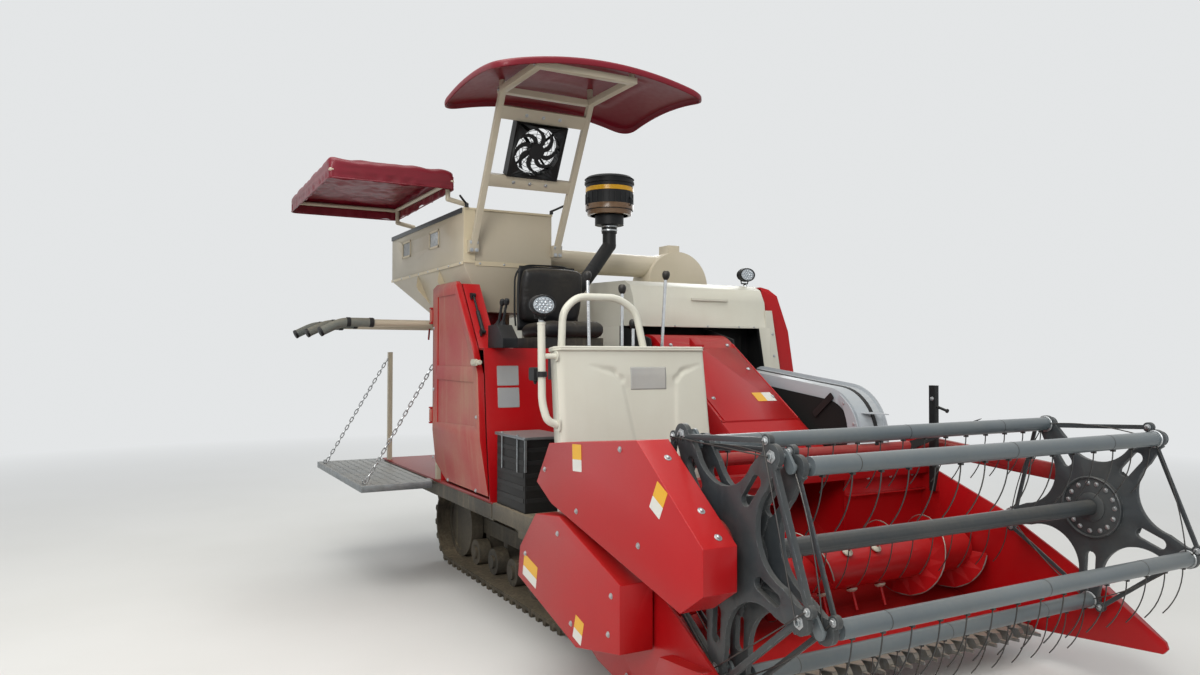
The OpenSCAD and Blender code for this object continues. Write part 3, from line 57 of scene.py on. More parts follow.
# %% [markdown]
# The drawing of the part counts millimetres from its own origin. The frame's origin lies under the middle
# of the machine, so a point of the drawing is scaled and then shifted. One helper does both, and keeps the
# numbers below the same as in the drawing.

# %% From the drawing's millimetres to the frame's metres
SHIFT = Vector((0.06955, 0.310, 0.0))


def at(x, y, z):
    """A point of the drawing, in millimetres, as a point of the frame, in metres."""
    return Vector((x, y, z)) * 0.001 + SHIFT


def colour(code):
    """A colour as painters write it, #rrggbb, turned into Blender's linear values."""
    parts = [int(code[i:i + 2], 16) / 255 for i in (1, 3, 5)]
    return (*[p / 12.92 if p <= 0.04045 else ((p + 0.055) / 1.055) ** 2.4 for p in parts], 1.0)


print("the drawing's origin in the frame", tuple(round(v, 3) for v in at(0, 0, 0)))


# %% [markdown]
# ## Light and camera
# The photograph was taken in soft daylight from the machine's front right, at about head height. A large
# lamp overhead and a weaker one from the side give the same soft shadows. The camera's place, heading and
# lens were worked out from the machine's upright posts and parallel tubes.

# %% Camera
scene = bpy.context.scene
scene.view_settings.view_transform = "Standard"
camera_data = bpy.data.cameras.new("camera")
camera_data.sensor_width = 36
camera_data.lens = 26.01
camera = bpy.data.objects.new("camera", camera_data)
scene.collection.objects.link(camera)
YAW, PITCH, ROLL = math.radians(28.8), math.radians(1.09), math.radians(0.14)
forward = Vector((-math.cos(YAW) * math.cos(PITCH), math.sin(YAW) * math.cos(PITCH), math.sin(PITCH)))
side = Vector((math.sin(YAW), math.cos(YAW), 0))
over = side.cross(forward)
right = side * math.cos(ROLL) + over * math.sin(ROLL)
above = over * math.cos(ROLL) - side * math.sin(ROLL)
aim = Matrix((right, above, -forward)).transposed().to_4x4()
CAMERA_AT = (4103, -2701, 1410)
camera.matrix_world = Matrix.Translation(at(*CAMERA_AT)) @ aim
scene.camera = camera
print("camera at", [round(c, 3) for c in camera.location])


# %% Lamps
def lamp(name, place, target, size, power, tint):
    """A square lamp of a size in metres at a place, turned to its target, with its power in watts."""
    data = bpy.data.lights.new(name, "AREA")
    data.shape, data.size, data.energy, data.color = "SQUARE", size, power, tint
    obj = bpy.data.objects.new(name, data)
    obj.location = place
    obj.rotation_euler = (Vector(target) - Vector(place)).to_track_quat("-Z", "Y").to_euler()
    scene.collection.objects.link(obj)


lamp("sky", (1.5, -2.0, 8.5), (0.2, 0, 1), 7.0, 620, (1, 0.99, 0.97))
lamp("sun_side", (6.5, -6.0, 5.0), (0.3, 0, 1.1), 3.5, 420, (1, 0.98, 0.95))
lamp("back", (-7.0, 5.0, 5.0), (0, 0, 1), 4.0, 260, (0.95, 0.98, 1))
print("lamps", len(bpy.data.lights))

# %% [markdown]
# ## Building blocks for materials
# A material is a small network of nodes. The helpers below keep such a network readable: `node` adds one
# node and connects or sets its inputs, and `group` makes a shader node group with named inputs and outputs
# that several materials share.


# %% Node helpers
def wire(tree, target, value):
    """Connect an output to the target socket, or set the socket to a plain value."""
    if hasattr(value, "is_output"):
        tree.links.new(value, target)
    else:
        target.default_value = value


def node(tree, kind, inputs=None, **settings):
    """A node with its settings, and with its inputs connected or set."""
    made = tree.nodes.new(kind)
    for key, value in settings.items():
        setattr(made, key, value)
    for key, value in (inputs or {}).items():
        wire(tree, made.inputs[key], value)
    return made


def math_node(tree, operation, a, b=0.0, clamp=False):
    """The result of one sum of two values."""
    return node(tree, "ShaderNodeMath", {0: a, 1: b}, operation=operation, use_clamp=clamp).outputs[0]


def mix_colour(tree, share, a, b):
    """Colour a where the share is 0, colour b where it is 1."""
    made = tree.nodes.new("ShaderNodeMix")
    made.data_type = "RGBA"
    for key, value in ((0, share), (6, a), (7, b)):
        wire(tree, made.inputs[key], value)
    return made.outputs[2]


def ramp(tree, value, low, high):
    """0 where the value is low, 1 where it is high, and straight in between."""
    made = tree.nodes.new("ShaderNodeMapRange")
    for key, v in (("Value", value), ("From Min", low), ("From Max", high)):
        wire(tree, made.inputs[key], v)
    return made.outputs["Result"]


def noise_node(tree, vector, scale, detail=4.0, rough=0.55):
    """Cloudy noise from 0 to 1: scale is its number of patches to the metre."""
    inputs = {"Vector": vector, "Scale": scale, "Detail": detail, "Roughness": rough}
    return node(tree, "ShaderNodeTexNoise", inputs).outputs[0]


def group(name, inputs, outputs):
    """A new node group: its tree, the sockets it is given and the sockets it puts out."""
    tree = bpy.data.node_groups.new(name, "ShaderNodeTree")
    for label, value in inputs.items():
        kind = "NodeSocketColor" if isinstance(value, tuple) else "NodeSocketFloat"
        tree.interface.new_socket(label, in_out="INPUT", socket_type=kind).default_value = value
    for label, kind in outputs.items():
        tree.interface.new_socket(label, in_out="OUTPUT", socket_type="NodeSocket" + kind)
    return tree, tree.nodes.new("NodeGroupInput").outputs, tree.nodes.new("NodeGroupOutput").inputs


def use(tree, shared, **values):
    """Place a group in a material with its own values, and give its outputs."""
    made = tree.nodes.new("ShaderNodeGroup")
    made.node_tree = shared
    for key, value in values.items():
        wire(tree, made.inputs[key.replace("_", " ")], value)
    return made.outputs


print("node helpers ready")

# %% [markdown]
# Field dust lies on every surface that faces up, gathers low on the machine, and is wiped off in patches.
# The mask mixes the surface's direction, its height and two noises, all in the object's own coordinates, so
# that it stays put when a part moves.

# %% Dust mask
dust_tree, given, result = group("Settled dust", {"Amount": 0.4, "Streaks": 0.3}, {"Mask": "Float"})
place = dust_tree.nodes.new("ShaderNodeTexCoord")
split_normal = node(dust_tree, "ShaderNodeSeparateXYZ", {0: place.outputs["Normal"]})
split_place = node(dust_tree, "ShaderNodeSeparateXYZ", {0: place.outputs["Object"]})
facing_up = ramp(dust_tree, split_normal.outputs["Z"], 0.1, 1.0)
low_down = ramp(dust_tree, split_place.outputs["Z"], 1.5, 0.1)
patches = ramp(dust_tree, noise_node(dust_tree, place.outputs["Object"], 3.2, 6), 0.38, 0.68)
fine = noise_node(dust_tree, place.outputs["Object"], 60.0, 3)
run_down = node(dust_tree, "ShaderNodeMapping", {"Vector": place.outputs["Object"],
    "Scale": (14.0, 14.0, 0.9)})
streak = ramp(dust_tree, noise_node(dust_tree, run_down.outputs[0], 1.6, 5), 0.52, 0.75)
lying = math_node(dust_tree, "MULTIPLY", facing_up, 0.75)
lying = math_node(dust_tree, "ADD", lying, math_node(dust_tree, "MULTIPLY", low_down, 0.35))
lying = math_node(dust_tree, "ADD", lying, math_node(dust_tree, "MULTIPLY", patches, 0.45))
lying = math_node(dust_tree, "MULTIPLY", lying, math_node(dust_tree, "ADD", fine, 0.35))
lying = math_node(dust_tree, "ADD", lying, math_node(dust_tree, "MULTIPLY", streak, given["Streaks"]))
wire(dust_tree, result["Mask"], math_node(dust_tree, "MULTIPLY", lying, given["Amount"], clamp=True))
print("dust group", len(dust_tree.nodes), "nodes")

# %% [markdown]
# Paint rubs off along edges. A Bevel node gives the normal that a rounded edge would have, and where it
# departs from the true normal there is an edge. A noise breaks the line up into chips.

# %% Edge wear mask
edge_tree, given, result = group("Worn edges", {"Width": 0.006, "Amount": 0.5}, {"Mask": "Float"})
place = edge_tree.nodes.new("ShaderNodeTexCoord")
bevel = node(edge_tree, "ShaderNodeBevel", {"Radius": given["Width"]}, samples=4)
geometry = edge_tree.nodes.new("ShaderNodeNewGeometry")
normals = {0: bevel.outputs[0], 1: geometry.outputs["Normal"]}
apart = node(edge_tree, "ShaderNodeVectorMath", normals, operation="DOT_PRODUCT")
edge = ramp(edge_tree, apart.outputs["Value"], 0.97, 0.75)
chips = ramp(edge_tree, noise_node(edge_tree, place.outputs["Object"], 42.0, 5, 0.7), 0.45, 0.62)
edge = math_node(edge_tree, "MULTIPLY", edge, chips)
wire(edge_tree, result["Mask"], math_node(edge_tree, "MULTIPLY", edge, given["Amount"], clamp=True))
print("edge group", len(edge_tree.nodes), "nodes")

# %% [markdown]
# No sprayed or moulded surface has one even colour. This group drifts between a colour and a faded tone of
# it, and also gives the slight unevenness of the surface as a height for a bump.

# %% Faded colour and fine grain
fade_tree, given, result = group("Faded colour", {"Fresh": (0.5, 0.5, 0.5, 1), "Faded": (0.6, 0.6, 0.6, 1),
    "Size": 2.0, "Share": 0.4}, {"Color": "Color"})
place = fade_tree.nodes.new("ShaderNodeTexCoord")
drift = ramp(fade_tree, noise_node(fade_tree, place.outputs["Object"], given["Size"], 5), 0.35, 0.7)
drift = math_node(fade_tree, "MULTIPLY", drift, given["Share"])
wire(fade_tree, result["Color"], mix_colour(fade_tree, drift, given["Fresh"], given["Faded"]))

grain_tree, given, result = group("Fine grain", {"Size": 200.0, "Depth": 1.0},
    {"Height": "Float", "Mask": "Float"})
place = grain_tree.nodes.new("ShaderNodeTexCoord")
grain = noise_node(grain_tree, place.outputs["Object"], given["Size"], 3)
wire(grain_tree, result["Height"], math_node(grain_tree, "MULTIPLY", grain, given["Depth"]))
wire(grain_tree, result["Mask"], ramp(grain_tree, grain, 0.4, 0.65))
print("colour and grain groups", len(fade_tree.nodes), "and", len(grain_tree.nodes), "nodes")

# %% [markdown]
# ## Paint
# Most of the machine is sprayed sheet steel: a coloured coat with a soft gloss, dulled by dust and chipped
# along its edges. One function builds every paint, because only the colour and the wear differ. The shader
# itself stays in the material.

# %% A function for sprayed paint
DUST = colour("#a89a80")
SCUFFED = colour("#5d5550")


def paint(name, fresh, faded, share=0.5, dust=0.35, streaks=0.25, wear=0.5, rough=0.34, coat=0.2,
          bare=SCUFFED, grain_size=260.0):
    """A coat from fresh to faded colour under dust. bare: what shows where its edges are worn."""
    made = bpy.data.materials.new(name)
    made.use_nodes = True
    tree = made.node_tree
    shader = tree.nodes["Principled BSDF"]
    body_colour = use(tree, fade_tree, Fresh=colour(fresh), Faded=colour(faded),
        Size=1.7, Share=share)["Color"]
    dusty = use(tree, dust_tree, Amount=dust, Streaks=streaks)["Mask"]
    surface = use(tree, grain_tree, Size=grain_size, Depth=1.0)
    tone = mix_colour(tree, dusty, body_colour, DUST)
    if wear:
        worn = use(tree, edge_tree, Width=0.005, Amount=wear)["Mask"]
        tone = mix_colour(tree, worn, tone, bare)
    wire(tree, shader.inputs["Base Color"], tone)
    dull = ramp(tree, dusty, 0.0, 0.8)
    dull = math_node(tree, "ADD", math_node(tree, "MULTIPLY", dull, 0.85 - rough), rough)
    uneven = math_node(tree, "MULTIPLY", surface["Mask"], 0.05)
    wire(tree, shader.inputs["Roughness"], math_node(tree, "ADD", dull, uneven))
    if coat:
        clean = math_node(tree, "SUBTRACT", 1.0, dusty, clamp=True)
        wire(tree, shader.inputs["Coat Weight"], math_node(tree, "MULTIPLY", clean, coat))
    shader.inputs["Coat Roughness"].default_value = 0.18
    shader.inputs["Specular IOR Level"].default_value = 0.3
    bump = node(tree, "ShaderNodeBump", {"Height": surface["Height"], "Strength": 0.06, "Distance": 0.001})
    wire(tree, shader.inputs["Normal"], bump.outputs[0])
    made.diffuse_color = colour(fresh)
    return made


red = paint("red_paint", "#a6000b", "#970710", dust=0.035, streaks=0.08, wear=0.25, coat=0.15)
door_red = paint("sun_bleached_red", "#962a31", "#a0574f", share=0.9, dust=0.55, streaks=0.5, rough=0.5,
    coat=0.1)
dark_red = paint("dark_red_paint", "#860812", "#7c141d", dust=0.12, wear=0.3, rough=0.42)
# A warm cream, darkened as painted shade: the tank, elevator and frames stand in shade.
shaded_tank_cream = paint("shaded_tank_cream", "#b9b09d", "#a69c86", dust=0.2, streaks=0.3, wear=0.5, rough=0.42, coat=0.15)
cream = paint("cream_paint", "#d2d1c4", "#c4c0b0", dust=0.16, streaks=0.2, wear=0.4, rough=0.4, coat=0.2)
chassis_paint = paint("chassis_paint", "#1d2023", "#2f302f", dust=0.38, streaks=0.5, wear=0.6, rough=0.55,
    coat=0.0)
moulded = paint("dark_grey_paint", "#2b3136", "#363d42", dust=0.1, streaks=0.1, wear=0.7, rough=0.42,
    coat=0.15, bare=colour("#8b8f90"))
guard_grey = paint("guard_grey", "#a0a7ad", "#8c9399", dust=0.22, streaks=0.15, wear=0.15, rough=0.32,
    coat=0.3, grain_size=300)
casting = paint("cast_iron_paint", "#323537", "#43423e", dust=0.4, wear=0.7, rough=0.7, coat=0.0,
    grain_size=90.0)
black_plastic = paint("black_plastic", "#101215", "#1b1e21", dust=0.035, streaks=0.08, wear=0.1, rough=0.5,
    coat=0.0, bare=colour("#3a3c3e"), grain_size=420.0)
print("paints made")

# %% [markdown]
# Galvanised tube and plain steel are metals: the colour goes to the reflection, and the dull patches come
# from roughness. Rubber is nearly black and never shiny, with dried mud in its recesses.


# %% Metals, rubber and soft plastics
def metal(name, bright, dull, rough, dust=0.3, spangle=30.0):
    """Bare or zinc-coated metal with patches of two tones, spangle of them to the metre, under dust."""
    made = bpy.data.materials.new(name)
    made.use_nodes = True
    tree = made.node_tree
    shader = tree.nodes["Principled BSDF"]
    base = use(tree, fade_tree, Fresh=colour(bright), Faded=colour(dull), Size=spangle, Share=0.8)["Color"]
    dusty = use(tree, dust_tree, Amount=dust, Streaks=0.2)["Mask"]
    surface = use(tree, grain_tree, Size=140.0, Depth=1.0)
    wire(tree, shader.inputs["Base Color"], mix_colour(tree, dusty, base, DUST))
    wire(tree, shader.inputs["Metallic"], math_node(tree, "SUBTRACT", 0.9, dusty, clamp=True))
    uneven = math_node(tree, "MULTIPLY", surface["Mask"], 0.12)
    wire(tree, shader.inputs["Roughness"], math_node(tree, "ADD", rough, uneven))
    bump = node(tree, "ShaderNodeBump", {"Height": surface["Height"], "Strength": 0.08, "Distance": 0.001})
    wire(tree, shader.inputs["Normal"], bump.outputs[0])
    made.diffuse_color = colour(bright)
    return made


galvanised = metal("galvanised_tube", "#8a9196", "#6d757b", 0.42)
bare_steel = metal("bare_steel", "#8d9092", "#6a6560", 0.45, dust=0.5)
polished = metal("polished_rod", "#d5d8da", "#c2c5c8", 0.14, dust=0.1)
spring_steel = metal("spring_steel", "#4b4d4f", "#37383a", 0.4, dust=0.15)
rubber = paint("track_rubber", "#141416", "#262422", share=0.8, dust=0.42, streaks=0.5, wear=0.0, rough=0.8,
    coat=0.0, grain_size=70.0)
vinyl = paint("seat_vinyl", "#141518", "#1e2023", dust=0.15, streaks=0.0, wear=0.0, rough=0.42, coat=0.05,
    grain_size=600.0)
nylon_guide = paint("pale_nylon", "#b9b6a8", "#a39f90", dust=0.35, wear=0.0, rough=0.5, coat=0.0,
    grain_size=500)
# A deep maroon moulding, darkened further as painted shade for the canopy's underside.
shaded_canopy_gloss = paint("shaded_canopy_gloss", "#6c061a", "#7a1024", dust=0.03, streaks=0.1, wear=0.0, rough=0.45,
    coat=0.12, grain_size=30.0)
print("metals and plastics made")

# %% [markdown]
# ## Dressing the sheet metal
# Real sheet edges are folded or deburred, and the thin bright line along them is what makes metal look like
# metal. Each painted node is copied, its flat triangles are merged back into whole faces, and a narrow
# Bevel modifier rounds the edges. Faces with a notch stay in triangles, because a bevel round a notch can
# close it over. The copy then stands for the solid.


# %% Round the edges of a solid
EDGE_WIDTH, EDGE_ANGLE = 0.003, math.radians(32)


def skin(name, material, second=None, chosen=None):
    """A copy of a solid with rounded edges, which stands for it. second: another material for the faces
    for which chosen(centre, normal) is true, in metres of the frame."""
    solid = frame["nodes"][name]
    mesh = solid.data.copy()
    mesh.name = name + "_skin"
    bm = bmesh.new()
    bm.from_mesh(mesh)
    bmesh.ops.remove_doubles(bm, verts=bm.verts, dist=2e-5)
    bmesh.ops.dissolve_limit(bm, angle_limit=math.radians(0.6), verts=bm.verts, edges=bm.edges)
    bm.normal_update()
    notched = [face for face in bm.faces if not all(loop.is_convex for loop in face.loops)]
    bmesh.ops.triangulate(bm, faces=notched, ngon_method="BEAUTY")
    for face in bm.faces:
        face.smooth = True
        centre = solid.matrix_world @ face.calc_center_median()
        face.material_index = int(bool(chosen) and chosen(centre, face.normal))
    mesh.materials.clear()
    mesh.materials.append(material)
    if second:
        mesh.materials.append(second)
    bm.to_mesh(mesh)
    bm.free()
    made = bpy.data.objects.new(name + "_skin", mesh)
    scene.collection.objects.link(made)
    mod = made.modifiers.new("Rounded edges", "BEVEL")
    mod.width, mod.segments, mod.limit_method = EDGE_WIDTH, 2, "ANGLE"
    mod.angle_limit = EDGE_ANGLE
    mod.harden_normals = True
    mod.miter_outer = "MITER_ARC"
    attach(made, BODY_OF[name])
    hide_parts(name)


ROUNDED = {
    red: ["feeder_house", "header_trough", "header_end_right", "knife_drive_cover", "reel_drive_cover",
          "left_covers"],
    dark_red: ["tank_outlets", "reel_arms"],
    cream: ["rear_hood"],
    shaded_tank_cream: ["grain_elevator", "grain_tank", "canopy_frame"],
    moulded: ["reel_spiders", "tine_control_ring"],
    guard_grey: ["drive_guard"],
    black_plastic: ["fan_shroud", "side_console"],
    chassis_paint: ["operator_floor", "seat_base"],
    galvanised: ["bag_platform", "platform_eyes"],
}
for material, names in ROUNDED.items():
    for name in names:
        skin(name, material)
print("one finish", sum(len(names) for names in ROUNDED.values()), "solids")

# %% [markdown]
# Some solids carry two finishes: black on the thresher body's front and on the hood's inner face as painted
# shade in the feed opening, a black bar on the crop divider, a door's bright rim, a bay's front in bright red
# with a darker red on its other faces as painted shade, and a steel lid. Cutting such a solid apart would
# open a gap between its finishes. Its copy gets a second material instead, on the faces that a short test
# picks by their place and direction.

# %% Solids with two finishes
# The thresher body's faces in the feed opening are black: painted shade under the hood.
skin("thresher_body", cream, second=black_plastic, chosen=lambda c, n: n.x > 0.7 or c.x > at(-415, 0, 0).x)
# The hood's inner face over the opening is black: painted shade.
skin("thresher_hood", cream, second=black_plastic, chosen=lambda c, n: n.y < -0.7 and c.y > 1.0)
skin("header_end_left", red, second=black_plastic,
     chosen=lambda c, n: at(940, 0, 0).x < c.x < at(990, 0, 0).x and c.z > 0.76)
skin("engine_door", door_red, second=red, chosen=lambda c, n: n.x > 0.4 and abs(n.y) < 0.5)
# The housing's faces that don't look forwards take a darker red: painted shade on the same red paint.
skin("engine_housing", red, second=dark_red, chosen=lambda c, n: n.x < 0.3)
skin("battery_box", black_plastic, second=galvanised, chosen=lambda c, n: c.z > 0.9995)
# The left cover's front edge leans back over the hood's rounded shoulder
for v in bpy.data.objects["left_covers_skin"].data.vertices:
    if v.co.x > at(-330, 0, 0).x and v.co.z > 1.7:
        v.co.x -= 0.045 + 0.0011 * (v.co.z * 1000 - 1790)

# %% [markdown]
# The other solids already have the shape they need: tubes, tracks, castings. Copying them would double the
# work for no gain, so they only get their material.

# %% Materials for the solids that stay
KEPT = {
    rubber: ["track_right", "track_left"],
    chassis_paint: ["chassis_frame", "undercarriage_right", "undercarriage_left", "lift_barrel"],
    casting: ["gearbox", "engine_block"],
    shaded_tank_cream: ["bag_rails", "awning_frame"],
    black_plastic: ["air_precleaner", "fan_rotor"],
    red: ["auger"],
    bare_steel: ["cutter_bar", "knife"],
    polished: ["lift_rod"],
}
for material, names in KEPT.items():
    for name in names:
        kept = frame["nodes"][name]
        kept.data.materials.clear()
        kept.data.materials.append(material)
print("kept", sum(len(n) for n in KEPT.values()), "nodes")

# %% [markdown]
# ## A small workshop
# The rest of the machine's looks come from many small real things: bolts, bent rods, link chains, lamps,
# folded lips. Each is built from a few kinds of part: a tube along a path, a turned shape round an axis,
# and a cut sheet of some thickness. They go into one mesh per piece, so that each piece can ride on its
# body.


# %% Bars and tubes along a path
FORWARD, BACK, LEFT, RIGHT, UP, DOWN = (1, 0, 0), (-1, 0, 0), (0, 1, 0), (0, -1, 0), (0, 0, 1), (0, 0, -1)


def around(count, start=0.0):
    """Turns in radians that share a full circle equally."""
    return [2 * math.pi * (k + start) / count for k in range(count)]


def path_points(points):
    """Points of the drawing as points of the frame."""
    return [at(*p) for p in points]


def bent(points, radius):
    """The path with every corner replaced by an arc of about this radius, as a tube bender leaves it."""
    pts = path_points(points)
    radius *= 0.001
    steps = 5
    out = [pts[0]]
    for before, corner, after in zip(pts, pts[1:], pts[2:]):
        a, b = before - corner, after - corner
        cut = min(radius, 0.45 * a.length, 0.45 * b.length)
        start, end = corner + a.normalized() * cut, corner + b.normalized() * cut
        for k in range(steps + 1):
            t = k / steps
            out.append(start * (1 - t) ** 2 + corner * 2 * t * (1 - t) + end * t * t)
    return out + [pts[-1]]


def join_rings(bm, rings, closed=False, caps=True):
    """Join rings of equally many points to a skin, closed to its first ring again or capped at its ends."""
    made = [[bm.verts.new(p) for p in ring] for ring in rings]
    if closed:
        made.append(made[0])
    for low, high in zip(made, made[1:]):
        for i in range(len(low)):
            j = (i + 1) % len(low)
            bm.faces.new((low[i], low[j], high[j], high[i]))
    if caps and not closed:
        bm.faces.new(made[0][::-1])
        bm.faces.new(made[-1])


def tube(bm, points, radius, sides=12, closed=False, flat=1.0, ready=False):
    """A round bar along the points, or a strap where flat is below 1. ready: the points are in metres."""
    pts = points if ready else path_points(points)
    r = radius * 0.001
    count = len(pts)
    heading = [((pts[(i + 1) % count] if closed or i + 1 < count else pts[i])
        - (pts[i - 1] if closed or i else pts[i])).normalized() for i in range(count)]
    up = Vector(UP if abs(heading[0].z) < 0.9 else LEFT)
    rings = []
    for p, h in zip(pts, heading):
        across = up.cross(h).normalized()
        up = h.cross(across).normalized()
        rings.append([p + r * (math.cos(t) * across + flat * math.sin(t) * up) for t in around(sides)])
    join_rings(bm, rings, closed)


print("a right-angled bend has", len(bent([(0, 0, 0), (90, 0, 0), (90, 90, 0)], 30)), "points")


# %% [markdown]
# Nuts, screws, knobs and collars are turned on a lathe. `turned` and `hoop` carry a short profile round
# an axis, as the lathe does. `cut_sheet` cuts a plate to an outline and gives it its thickness, and
# `bent_sheet` is for sheets that are pressed or hang.

# %% Turned parts, rings and cut sheets
def spun(place, axis, profile, sides):
    """Rings round an axis through a place: profile gives their (radius, height) pairs, in millimetres."""
    centre, h = at(*place), Vector(axis).normalized()
    across = h.orthogonal().normalized()
    along = h.cross(across)
    return [[centre + h * z * 0.001 + max(r, 0.05) * 0.001 * (math.cos(t) * across + math.sin(t) * along)
        for t in around(sides)] for r, z in profile]


def turned(bm, place, axis, profile, sides=24):
    """A turned part, solid between its first and last ring."""
    join_rings(bm, spun(place, axis, profile, sides))


def hoop(bm, place, axis, profile, sides=28):
    """A ring: its profile is a closed loop carried round the axis."""
    join_rings(bm, spun(place, axis, profile, sides), closed=True)


def cut_sheet(bm, outline, origin, u, v, thick):
    """A sheet cut to an outline in the plane of u and v, with its back at the origin."""
    u, v = Vector(u).normalized(), Vector(v).normalized()
    n = u.cross(v) * 0.001
    flat = [at(*origin) + (u * x + v * y) * 0.001 for x, y in outline]
    join_rings(bm, [flat, [p + n * thick for p in flat]])


def bent_sheet(bm, rows):
    """A sheet through rows of points in metres, each row as long as the next."""
    made = [[bm.verts.new(p) for p in row] for row in rows]
    for low, high in zip(made, made[1:]):
        for i in range(len(low) - 1):
            bm.faces.new((low[i], low[i + 1], high[i + 1], high[i]))


def rounded(outline, radius, steps=3):
    """The outline with its corners rounded off."""
    out = []
    count = len(outline)
    for i, corner in enumerate(outline):
        c = Vector(corner)
        a, b = Vector(outline[i - 1]) - c, Vector(outline[(i + 1) % count]) - c
        cut = min(radius, 0.45 * a.length, 0.45 * b.length)
        start, end = c + a.normalized() * cut, c + b.normalized() * cut
        for k in range(steps + 1):
            t = k / steps
            out.append(tuple(start * (1 - t) ** 2 + c * 2 * t * (1 - t) + end * t * t))
    return out


def oblong(w, h, r):
    """A rounded rectangle round the origin."""
    return rounded([(-w / 2, -h / 2), (w / 2, -h / 2), (w / 2, h / 2), (-w / 2, h / 2)], r)


print("a rounded oblong has", len(oblong(60, 40, 5)), "corners")


# %% [markdown]
# A hexagon head is a turned part with six sides.

# %% Bolts, blocks and whole pieces
def bolt(bm, place, axis, size=8.0, washer=True):
    """A hexagon head on its washer: size is half the width across the corners."""
    if washer:
        flat_ring = [(size * 1.45, -0.3), (size * 1.45, size * 0.22), (size * 1.2, size * 0.3)]
        turned(bm, place, axis, flat_ring, 16)
    turned(bm, place, axis, [(size, 0), (size, size * 0.75), (size * 0.82, size * 0.95)], 6)


def block(bm, x0, x1, y0, y1, z0, z1):
    """A box between these planes."""
    outline = [(0, 0), (x1 - x0, 0), (x1 - x0, y1 - y0), (0, y1 - y0)]
    cut_sheet(bm, outline, (x0, y0, z0), FORWARD, LEFT, z1 - z0)


def piece(bm, name, material, body, stands_for=(), soft_edge=0.8, angle=35, thick=None):
    """Turn the mesh into a piece that rides on a body. soft_edge is the bevel's width in millimetres."""
    bmesh.ops.recalc_face_normals(bm, faces=bm.faces)
    mesh = bpy.data.meshes.new(name)
    bm.to_mesh(mesh)
    bm.free()
    mesh.shade_smooth()
    mesh.set_sharp_from_angle(angle=math.radians(angle))
    mesh.materials.append(material)
    made = bpy.data.objects.new(name, mesh)
    scene.collection.objects.link(made)
    if thick:
        solid = made.modifiers.new("Sheet thickness", "SOLIDIFY")
        solid.thickness, solid.offset = thick * 0.001, -1
    if soft_edge:
        mod = made.modifiers.new("Soft edge", "BEVEL")
        mod.width, mod.segments, mod.limit_method = soft_edge * 0.001, 2, "ANGLE"
        mod.angle_limit = math.radians(angle)
        mod.harden_normals = True
    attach(made, body)
    if stands_for:
        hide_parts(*stands_for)
    print("piece", name, len(mesh.polygons))
    return made

# %% [markdown]
# ## The reel
# The reel is what one sees first. Five tine tubes of smooth grey steel turn in two five-armed end plates. A
# thin dark joint runs round each tube where two lengths meet. Every tine is a spring wire that comes out of
# a small block under its tube, and it curves backwards so that it lets go of the crop. Tubes and tines are
# rebuilt here. The end plates keep their solids and get bolts, hub rims and the thin wires that run from
# tip to tip.


# %% Places on the reel
REEL = (1850.0, 760.0)
RING = (1828.0, 794.0)
CRANK = (RING[0] - REEL[0], RING[1] - REEL[1])
TUBE_OUT, NUT_OUT, NUT_TURN = 403, 425, 6.5
ARM_ANGLE = [math.radians(126 - 72 * k - 3.3) for k in range(5)]


def on_reel(k, radius, turn=0.0, centre=REEL):
    """x and z at this radius on arm k of a plate, some degrees further round than its tube."""
    a = ARM_ANGLE[k % 5] + math.radians(turn)
    return centre[0] + radius * math.cos(a), centre[1] + radius * math.sin(a)


print("a crank is", round(math.hypot(*CRANK), 1), "mm long")


# %% Tine tubes with their cranks, joints and tines
tube_paint = paint("reel_tube_paint", "#525c62", "#646e73", share=0.7, dust=0.12, streaks=0.05, wear=0.35,
    rough=0.3, coat=0.35, bare=colour("#8f9496"))
TINE_ARC = [math.radians(a) for a in range(0, 43, 6)]
TINE_BEND, TINE_WIRE, TINES, TINE_PITCH = 300, 2.4, 15, 125
for k in range(5):
    body = "tine_tube_%d" % (k + 1)
    x, z = on_reel(k, TUBE_OUT)
    qx, qz = x + CRANK[0], z + CRANK[1]
    bm = bmesh.new()
    hoop(bm, (x, -880, z), LEFT, [(29.7, 0), (29.7, 1880), (25, 1880), (25, 12), (2, 12), (2, 0)], 32)
    turned(bm, (x, -955, z), LEFT, [(9.7, 0), (9.7, 76)], 16)
    turned(bm, (qx, -1018, qz), LEFT, [(6.5, 0), (7.7, 1.5), (7.7, 68)], 16)
    lean = math.atan2(CRANK[1], CRANK[0])
    far_end, near_end = [[(r * math.cos(lean + t), r * math.sin(lean + t))
        for t in (math.radians(start + 20 * i) for i in range(10))] for r, start in ((18, -90), (20, 90))]
    outline = [(CRANK[0] + a, CRANK[1] + b) for a, b in far_end] + near_end
    cut_sheet(bm, outline, (x, -947, z), FORWARD, UP, 10)
    piece(bm, "tine_tube_%d_skin" % (k + 1), tube_paint, body, [body], 0.6)
    bm = bmesh.new()
    for y in (-690, 65, 640):
        hoop(bm, (x, y, z), LEFT, [(29.5, -1.5), (30.2, -1.5), (30.2, 1.5), (29.5, 1.5)], 32)
    hoop(bm, (x, 998, z), LEFT, [(24, 0), (30.6, 0), (30.6, 4), (24, 4)], 32)
    for n in range(TINES):
        y = -827 + TINE_PITCH * n
        block(bm, x - 8, x + 8, y - 6, y + 6, z - 36, z - 28)
        bolt(bm, (x - 8, y, z - 32), BACK, 3, False)
        tine = [(x - TINE_BEND + TINE_BEND * math.cos(a), y, z - 25 - TINE_BEND * math.sin(a))
            for a in TINE_ARC]
        tube(bm, tine, TINE_WIRE, 7)
    piece(bm, "spring_tines_%d" % (k + 1), spring_steel, body, (), 0)

